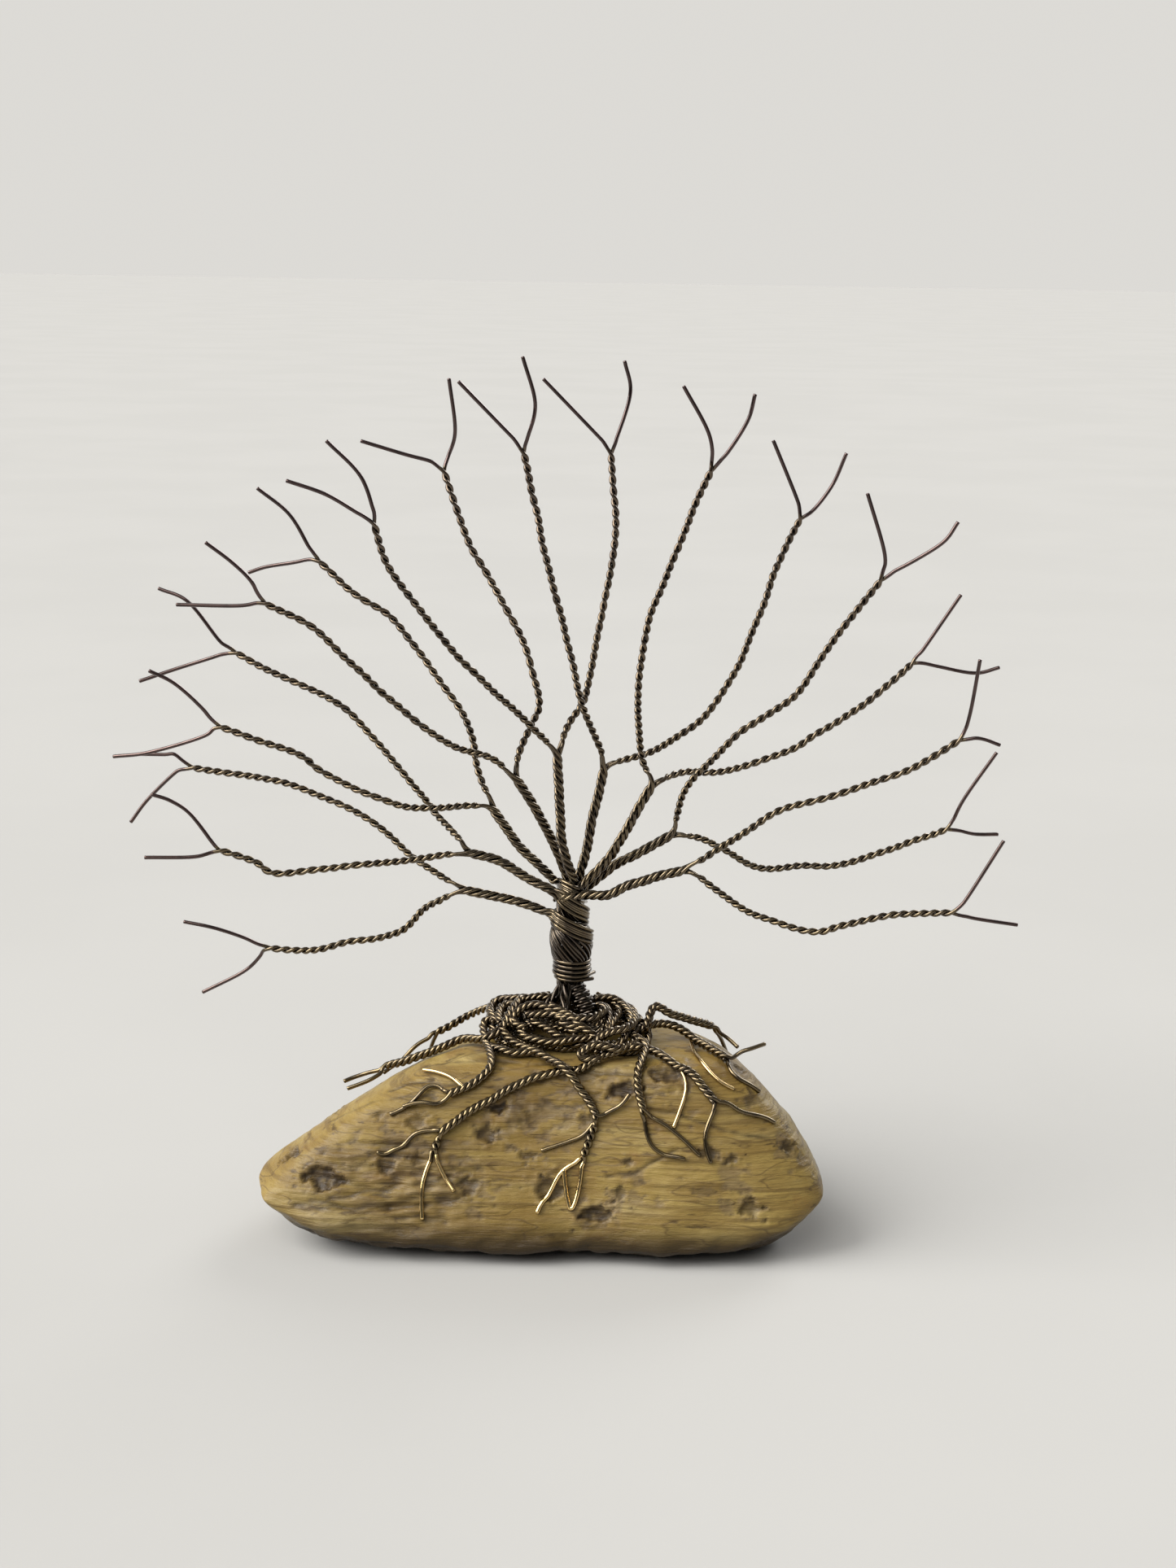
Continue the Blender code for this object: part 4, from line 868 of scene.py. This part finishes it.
def make_stone():
    mesh = make_stone_mesh()
    shape = StoneShape(mesh)
    for hollow in HOLLOWS:
        shape.hollow(*hollow)
    for _ in range(PITS):
        shape.random_pit()
    for crack in CRACKS:
        shape.crack(*crack)
    for crust in CRUSTS:
        shape.crust(*crust)
    shape.flake()
    shape.finish()
    mesh.name = "stone_body"
    mesh.materials.clear()
    mesh.materials.append(stone_material())
    add_piece(mesh, "stone_body", "stone_base")
    return tree_of(mesh)


def on_stone(tree, route, radius):
    """A line that lies on the stone, from points of x, y and height above resting on it."""
    reach = 0.5
    result = []
    for x, y, lift in curve(route, 0.3):
        spots = [drop(tree, x + dx, y + dy)
                 for dx, dy in ((0, 0), (reach, 0), (-reach, 0), (0, reach), (0, -reach))]
        if any(p is None for p in spots):
            near, normal = tree.find_nearest(Vector((x * MM, y * MM, 0.008)))[:2]
            point = np.array(near) / MM
            normal = np.array(normal)
        else:
            point = spots[0]
            normal = unit(np.array([-(spots[1][2] - spots[2][2]) / (2 * reach),
                                    -(spots[3][2] - spots[4][2]) / (2 * reach), 1.0]))
        result.append(point + normal * (radius + lift))
    return even(relax(np.array(result), 3))


# ---------- the tree's wires ----------

def flat_offset(path, k):
    """Side-by-side place of one of four wires that wrap the trunk."""
    way = unit(np.gradient(path, axis=0))
    out = path - np.array([WRAP_CENTRE_X, 0, 0])
    out[:, 2] = 0
    across = unit(np.cross(way, unit(out)))
    return across * ((k - 1.5) * SIDE_BY_SIDE)


def fork_turn(path, side, over, offset_angle, split):
    """Extra turn so that a twist's wires lie along the split direction at its end."""
    wanted = angle_of(split, side[-1], over[-1])
    delta = (wanted - offset_angle + math.pi / 2) % math.pi - math.pi / 2
    return delta * along(path) / along(path)[-1]


def limb_wires(limb, path, start, split):
    """The four wires of a limb with their last offsets, sorted across the split."""
    _, side, over = carry(path)
    s = along(path)
    pitch = LIMB_PITCH * (0.92 + 0.16 * random.random())
    drift = wander(len(path), limb, 0.5)
    spin = (angle_of(split, side[-1], over[-1]) + 2 * math.pi * (s[-1] - s) / pitch
            + drift - drift[-1])
    wires = []
    for k in range(4):
        angle = spin + (k // 2) * math.pi + (2 * (k % 2) - 1) * LIMB_SPREAD
        twist = LIMB_OFFSET * turned(side, over, angle)
        if limb in WRAPPING_LIMBS:
            mixed = smoothstep((s - start + 0.9) / 1.9)[:, None]
            line = path + (1 - mixed) * flat_offset(path, k) + mixed * twist
        else:
            line = path + twist
        wires.append((line, twist[-1]))
    wires.sort(key=lambda w: -float(np.dot(w[1], split)))
    return wires


def build_crown():
    """For each branch: its limb, two wires with their last offsets, its line and the limb's."""
    crown = {}
    for limb, route in LIMBS.items():
        entry = LIMB_ENTRIES[limb]
        path = wobble(curve(entry + route), limb, 0.10, 2.5)
        first, second = (n for n, branch in BRANCHES.items() if branch[0] == limb)
        lines = {}
        for n in (first, second):
            line = curve([tuple(path[-1])] + BRANCHES[n][1])
            ease = smoothstep(along(line) / LIMB_EASE)[:, None]
            lines[n] = line + ease * (wobble(line, n + 20, 0.13, 3.0) - line)
        split = heading(lines[first], LIMB_FORK) - heading(lines[second], LIMB_FORK)
        wires = limb_wires(limb, path, along(curve(entry + route[:1]))[-1], split)
        crown[first] = (limb, wires[:2], lines[first], path)
        crown[second] = (limb, wires[2:], lines[second], path)
    return crown


def branch_wires(number, group, line):
    """The two whole wires of a branch, each from the trunk to its tip."""
    _, side, over = carry(line)
    s = along(line)
    pitch = PAIR_PITCH * (0.93 + 0.16 * random.random())
    at = int(0.9 / STEP)
    (_, off_a), (_, off_b) = group
    start_angle = angle_of(off_a - off_b, side[at], over[at])
    drift = wander(len(line), number + 40, 0.7)
    turns = (s - s[at]) / pitch + 0.9 * (smoothstep(s / 9) - smoothstep(s[at] / 9))
    spin = start_angle - 2 * math.pi * turns + drift - drift[at]
    tips = [curve([tuple(line[-1])] + tip) for tip in BRANCHES[number][2:]]
    split = heading(tips[0], BRANCH_FORK) - heading(tips[1], BRANCH_FORK)
    spin = spin + fork_turn(line, side, over, spin[-1], split)
    middle = (off_a + off_b) / 2
    weight = fade(line, BRANCH_EASE)[:, None]
    made = []
    for j, (wire, offset) in enumerate(group):
        twist = PAIR_OFFSET * turned(side, over, spin + j * math.pi)
        part = line + weight * (middle + 0.85 * (offset - middle)) + (1 - weight) * twist
        tip = tips[0] if float(np.dot(twist[-1], split)) > 0 else tips[1]
        tail = tip + fade(tip, TIP_EASE)[:, None] * twist[-1]
        whole = np.vstack([wire, part[1:], tail[1:]])
        position = along(whole)
        mask = np.zeros(len(whole))
        for join in (along(wire)[-1], position[len(wire) + len(part) - 2]):
            mask = np.maximum(mask, np.exp(-((position - join) / 0.55) ** 2))
        made.append((relax(whole, 14, mask), len(wire), len(wire) + len(part)))
    return made


def make_crown():
    limbs = {}
    for number, (limb, group, line, centre) in build_crown().items():
        branch = Wires()
        if limb not in limbs:
            limbs[limb] = Wires()
            radius, step, sides = LIMB_CORE
            limbs[limb].add(even(centre[:-6], step), radius, sides=sides)
        for path, length, tip in branch_wires(number, group, line):
            cut = length + int(STUB / STEP)
            limbs[limb].add(path[:cut])
            branch.add(path[cut - 1:], change=tip - cut)
        name = f"branch_{number:02d}"
        branch.piece(name + "_wires", [CROWN, TIPS], name)
    for limb, wires in limbs.items():
        name = f"limb_{limb:02d}"
        wires.piece(name + "_wires", [CROWN], name)


def add_trunk_strands(trunk):
    rows = curve([(x, radius, z) for z, x, radius in TRUNK], 0.1)
    x, outer, z = rows.T
    core = np.stack([x, np.zeros(len(rows)), z], 1)
    for k in range(TRUNK_WIRES):
        phase = 2 * math.pi * k / TRUNK_WIRES + 0.05 * math.sin(k * 5.1)
        inner = SINKING[k % 3] * smoothstep((TIGHT_RADIUS - outer) / 0.35)
        radius = outer - WIRE_RADIUS - inner + 0.03 * math.sin(k * 2.3)
        angle = phase - 2 * math.pi * (z - 20) / TRUNK_PITCH
        angle = angle - 0.9 * smoothstep((z - 24.0) / 2.5)
        line = core + np.stack([radius * np.cos(angle), radius * np.sin(angle),
                                np.zeros(len(rows))], 1)
        trunk.add(wobble(even(line), k + 80, 0.05, 1.3))
    radius, step, sides = TRUNK_CORE
    trunk.add(even(core, step), radius, sides=sides)


def add_legs(trunk):
    leg = curve(WRAPPED_LEG, 0.1)
    axis, thick = leg[:, :3], leg[:, 3]
    _, side, over = carry(axis)
    turn = -2 * math.pi * LEG_WRAPS * along(axis) / along(axis)[-1]
    for k in range(2):
        angle = turn + k * math.pi
        trunk.add(even(axis + (thick - WIRE_RADIUS)[:, None] * turned(side, over, angle)))
    for k in range(LEG_STRANDS):
        angle = np.full(len(axis), 2 * math.pi * k / LEG_STRANDS) - 0.25 * along(axis)
        trunk.add(even(axis + (thick - 2.6 * WIRE_RADIUS)[:, None] * turned(side, over, angle)))
    for route in SIDE_LEGS:
        path = curve(route)
        _, side, over = carry(path)
        for k in range(SIDE_LEG_STRANDS):
            angle = k * math.pi / 2 - 2 * math.pi * along(path) / SIDE_LEG_PITCH
            trunk.add(path + SIDE_LEG_OFFSET * turned(side, over, angle))


def make_trunk():
    trunk = Wires()
    add_trunk_strands(trunk)
    add_legs(trunk)
    trunk.piece("trunk_wires", [TRUNK_WIRE], "trunk_bundle")


def winding(low, high, radius, start, turns, x):
    """A wire wound round the trunk from one height to another, from an angle in degrees."""
    t = np.linspace(0, 1, int(turns * 60))
    angle = math.radians(start) - 2 * math.pi * turns * t
    swell = radius + 0.03 * np.sin(angle * 1.7)
    return np.stack([x + swell * np.cos(angle), swell * np.sin(angle), low + (high - low) * t], 1)


def make_bindings():
    lower = Wires()
    for *turns, tail in LOWER_BINDING:
        line = winding(*turns, LOWER_BINDING_X)
        lower.add(even(relax(np.vstack([tail, line[1:]]), 3)))
    lower.piece("binding_lower_wires", [NEST], "binding_lower")
    upper = Wires()
    first, apart, rise, radius, start, turns, x = UPPER_BINDING
    for k in range(3):
        low = first + apart * k
        line = winding(low, low + rise, radius, start, turns, x)
        narrower = -UPPER_BINDING_NARROWS * np.linspace(0, 1, len(line))[:, None]
        line[:, :2] += (line[:, :2] - np.array([x, 0])) * narrower
        upper.add(even(line))
    upper.piece("binding_upper_wires", [TRUNK_WIRE], "binding_upper")


def rope(path, count, seed):
    """Twists wires round a line. Returns each wire's line and its last offset."""
    offset, pitch = ROPE_TWIST[count]
    pitch = pitch * (0.92 + 0.16 * random.random())
    _, side, over = carry(path)
    spin = 2 * math.pi * random.random() - 2 * math.pi * along(path) / pitch
    spin = spin + wander(len(path), seed, 0.8)
    made = []
    for k in range(count):
        twist = offset * turned(side, over, spin + 2 * math.pi * k / count)
        made.append((path + twist, twist[-1]))
    return made


def tail_of(strand, child, length=ROOT_EASE):
    """The child line, drawn at its start to the strand's end."""
    return child + (strand[-1] - child[0]) * fade(child, length)[:, None]


def pair_tails(tree, second, path, child, strands):
    """What two strands do beyond a rope's end: a twisted pair, and then its two leaves."""
    pair = tail_of(path, child)
    _, side, over = carry(pair)
    spin = -2 * math.pi * along(pair) / ROOT_PAIR_PITCH
    leaves = [on_stone(tree, [second[0][-1]] + leaf, ROOT_RADIUS) for leaf in second[1:]]
    fork = heading(leaves[0], LEAF_FORK) - heading(leaves[1], LEAF_FORK)
    spin = spin + angle_of(fork, side[-1], over[-1]) - spin[-1]
    weight = fade(pair, ROOT_EASE)[:, None]
    tails = []
    for j, (leaf, (_, last)) in enumerate(zip(leaves, strands)):
        twist = ROOT_RADIUS * turned(side, over, spin + j * math.pi)
        part = pair + weight * last + (1 - weight) * twist
        tails.append(np.vstack([part[1:], tail_of(part, leaf, LEAF_EASE)[1:]]))
    return tails


def make_root(tree, index, name, route, first, second):
    count = 3 if len(route) > LONG_ROUTE else 2
    path = on_stone(tree, route, ROPE_TWIST[count][0] + ROOT_RADIUS)
    path = wobble(path, index + 100, 0.07, 1.6)
    forked = isinstance(second, tuple)
    leads = (first, second[0] if forked else second)
    children = [on_stone(tree, [route[-1]] + lead, ROOT_RADIUS) for lead in leads]
    split = heading(children[0], ROOT_FORK) - heading(children[1], ROOT_FORK)
    strands = rope(path, count, index + 120)
    strands.sort(key=lambda strand: -float(np.dot(strand[1], split)))
    lines = [line for line, _ in strands]
    if forked:
        tails = pair_tails(tree, second, path, children[1], strands[:-3:-1])
        jobs = [(lines[-1], tails[0], True), (lines[-2], tails[1], True),
                (lines[0], tail_of(lines[0], children[0]), False)]
        spare = lines[1:-2]
    else:
        jobs = [(line, tail_of(line, child)[1:], False)
                for line, child in ((lines[0], children[0]), (lines[-1], children[1]))]
        spare = lines[1:-1]
    wires = Wires()
    for strand, tail, gold in jobs:
        whole = np.vstack([strand, tail])
        mask = np.exp(-((along(whole) - along(strand)[-1]) / 0.35) ** 2)
        keep = len(strand) + len(tail) // 3
        wires.add(relax(whole, 8, mask), ROOT_RADIUS, change=keep if gold else None)
    for strand in spare:
        wires.add(strand[:-2], ROOT_RADIUS)
    wires.piece(name + "_wires", [NEST, GOLD], name)


def make_roots(tree):
    for index, (name, (route, first, second)) in enumerate(ROOTS.items()):
        make_root(tree, index, name, route, first, second)
    for name, route in SIDE_WIRES.items():
        wires = Wires()
        wires.add(on_stone(tree, route, WIRE_RADIUS), slot=int(name in GOLD_SIDE_WIRES))
        wires.piece(name + "_strand", [NEST, GOLD], name)


def make_tangle(tree):
    seed = 200
    for name, routes in TANGLE.items():
        wires = Wires()
        for route in routes:
            seed += 1
            path = wobble(on_stone(tree, route, TANGLE_LIFT), seed, 0.16, 1.5)
            for line, _ in rope(path, 3, seed):
                wires.add(line, ROOT_RADIUS, sides=TANGLE_SIDES)
        wires.piece(name + "_rope", [NEST], name)


# ---------- camera, light and floor ----------

LENS = 52.0
FILM_HEIGHT = 36.0
CAMERA_PLACE = (0.00108, -0.181, 0.0795)
CAMERA_TILT, CAMERA_ROLL = 76.78, 0.9
FLOOR_REACH, FLOOR_Z = 6.0, -0.0001
PALE = (0.72, 0.705, 0.672)
DIM = (0.07, 0.07, 0.072)
ZENITH = (0.40, 0.40, 0.395)
# soft far lamps: direction towards it, strength, apparent size in degrees, colour
SUNS = {
    "key": ((-0.80, -0.20, 0.62), 4.1, 50, (1.0, 0.98, 0.94)),
    "key_front": ((-0.42, -0.62, 0.80), 1.7, 50, (1.0, 0.98, 0.94)),
    "rim": ((0.5, 0.75, 0.55), 1.1, 30, (1.0, 0.99, 0.97)),
}


def make_camera():
    data = bpy.data.cameras.new("camera")
    data.sensor_fit = "VERTICAL"
    data.sensor_width = FILM_HEIGHT
    data.sensor_height = FILM_HEIGHT
    data.lens = LENS
    data.clip_start = 0.005
    data.clip_end = 50.0
    camera = add_object("camera", data)
    tilt = Matrix.Rotation(math.radians(CAMERA_TILT), 4, "X")
    roll = Matrix.Rotation(math.radians(CAMERA_ROLL), 4, "Z")
    camera.matrix_world = Matrix.Translation(CAMERA_PLACE) @ tilt @ roll
    bpy.context.scene.camera = camera


def make_floor():
    mesh = bpy.data.meshes.new("floor")
    corners = ((-1, -1), (1, -1), (1, 1), (-1, 1))
    mesh.from_pydata([(FLOOR_REACH * x, FLOOR_REACH * y, FLOOR_Z) for x, y in corners], [],
                     [(0, 1, 2, 3)])
    floor = add_object("floor", mesh)
    material, tree, shader = shader_tree("floor_pale")
    tone = ramp(tree, [(0.4, (0.415, 0.412, 0.404)), (0.6, (0.425, 0.422, 0.414))],
                noise_node(tree, object_place(tree), 14))
    tree.links.new(tone, shader.inputs["Base Color"])
    shader.inputs["Roughness"].default_value = 1.0
    shader.inputs["Specular IOR Level"].default_value = 0.0
    mesh.materials.append(material)


def make_world():
    """Dim in front, pale behind and above, and pale all round where the camera sees it."""
    world = bpy.data.worlds.new("studio")
    bpy.context.scene.world = world
    world.use_nodes = True
    tree = world.node_tree
    background = tree.nodes["Background"]
    split = node(tree, "ShaderNodeSeparateXYZ")
    tree.links.new(node(tree, "ShaderNodeTexCoord").outputs["Generated"], split.inputs[0])
    back = map_range(tree, split.outputs["Y"], -0.5, 0.4, kind="SMOOTHSTEP")
    up = map_range(tree, split.outputs["Z"], 0.15, 0.9, kind="SMOOTHSTEP")
    colour = mix_colour(tree, up, ramp(tree, [(0.0, DIM), (1.0, PALE)], back), ZENITH)
    seen = node(tree, "ShaderNodeLightPath").outputs["Is Camera Ray"]
    tree.links.new(mix_colour(tree, seen, colour, PALE), background.inputs["Color"])
    background.inputs["Strength"].default_value = 1.0


def make_suns():
    for name, (away, strength, angle, colour) in SUNS.items():
        data = bpy.data.lights.new(name, "SUN")
        data.energy = strength
        data.angle = math.radians(angle)
        data.color = colour
        add_object(name, data).rotation_euler = Vector(away).to_track_quat("Z", "Y").to_euler()


def main():
    make_camera()
    make_floor()
    make_world()
    make_suns()
    tree = make_stone()
    make_trunk()
    make_bindings()
    make_crown()
    make_tangle(tree)
    make_roots(tree)
    bpy.context.scene.view_settings.view_transform = "Standard"


main()
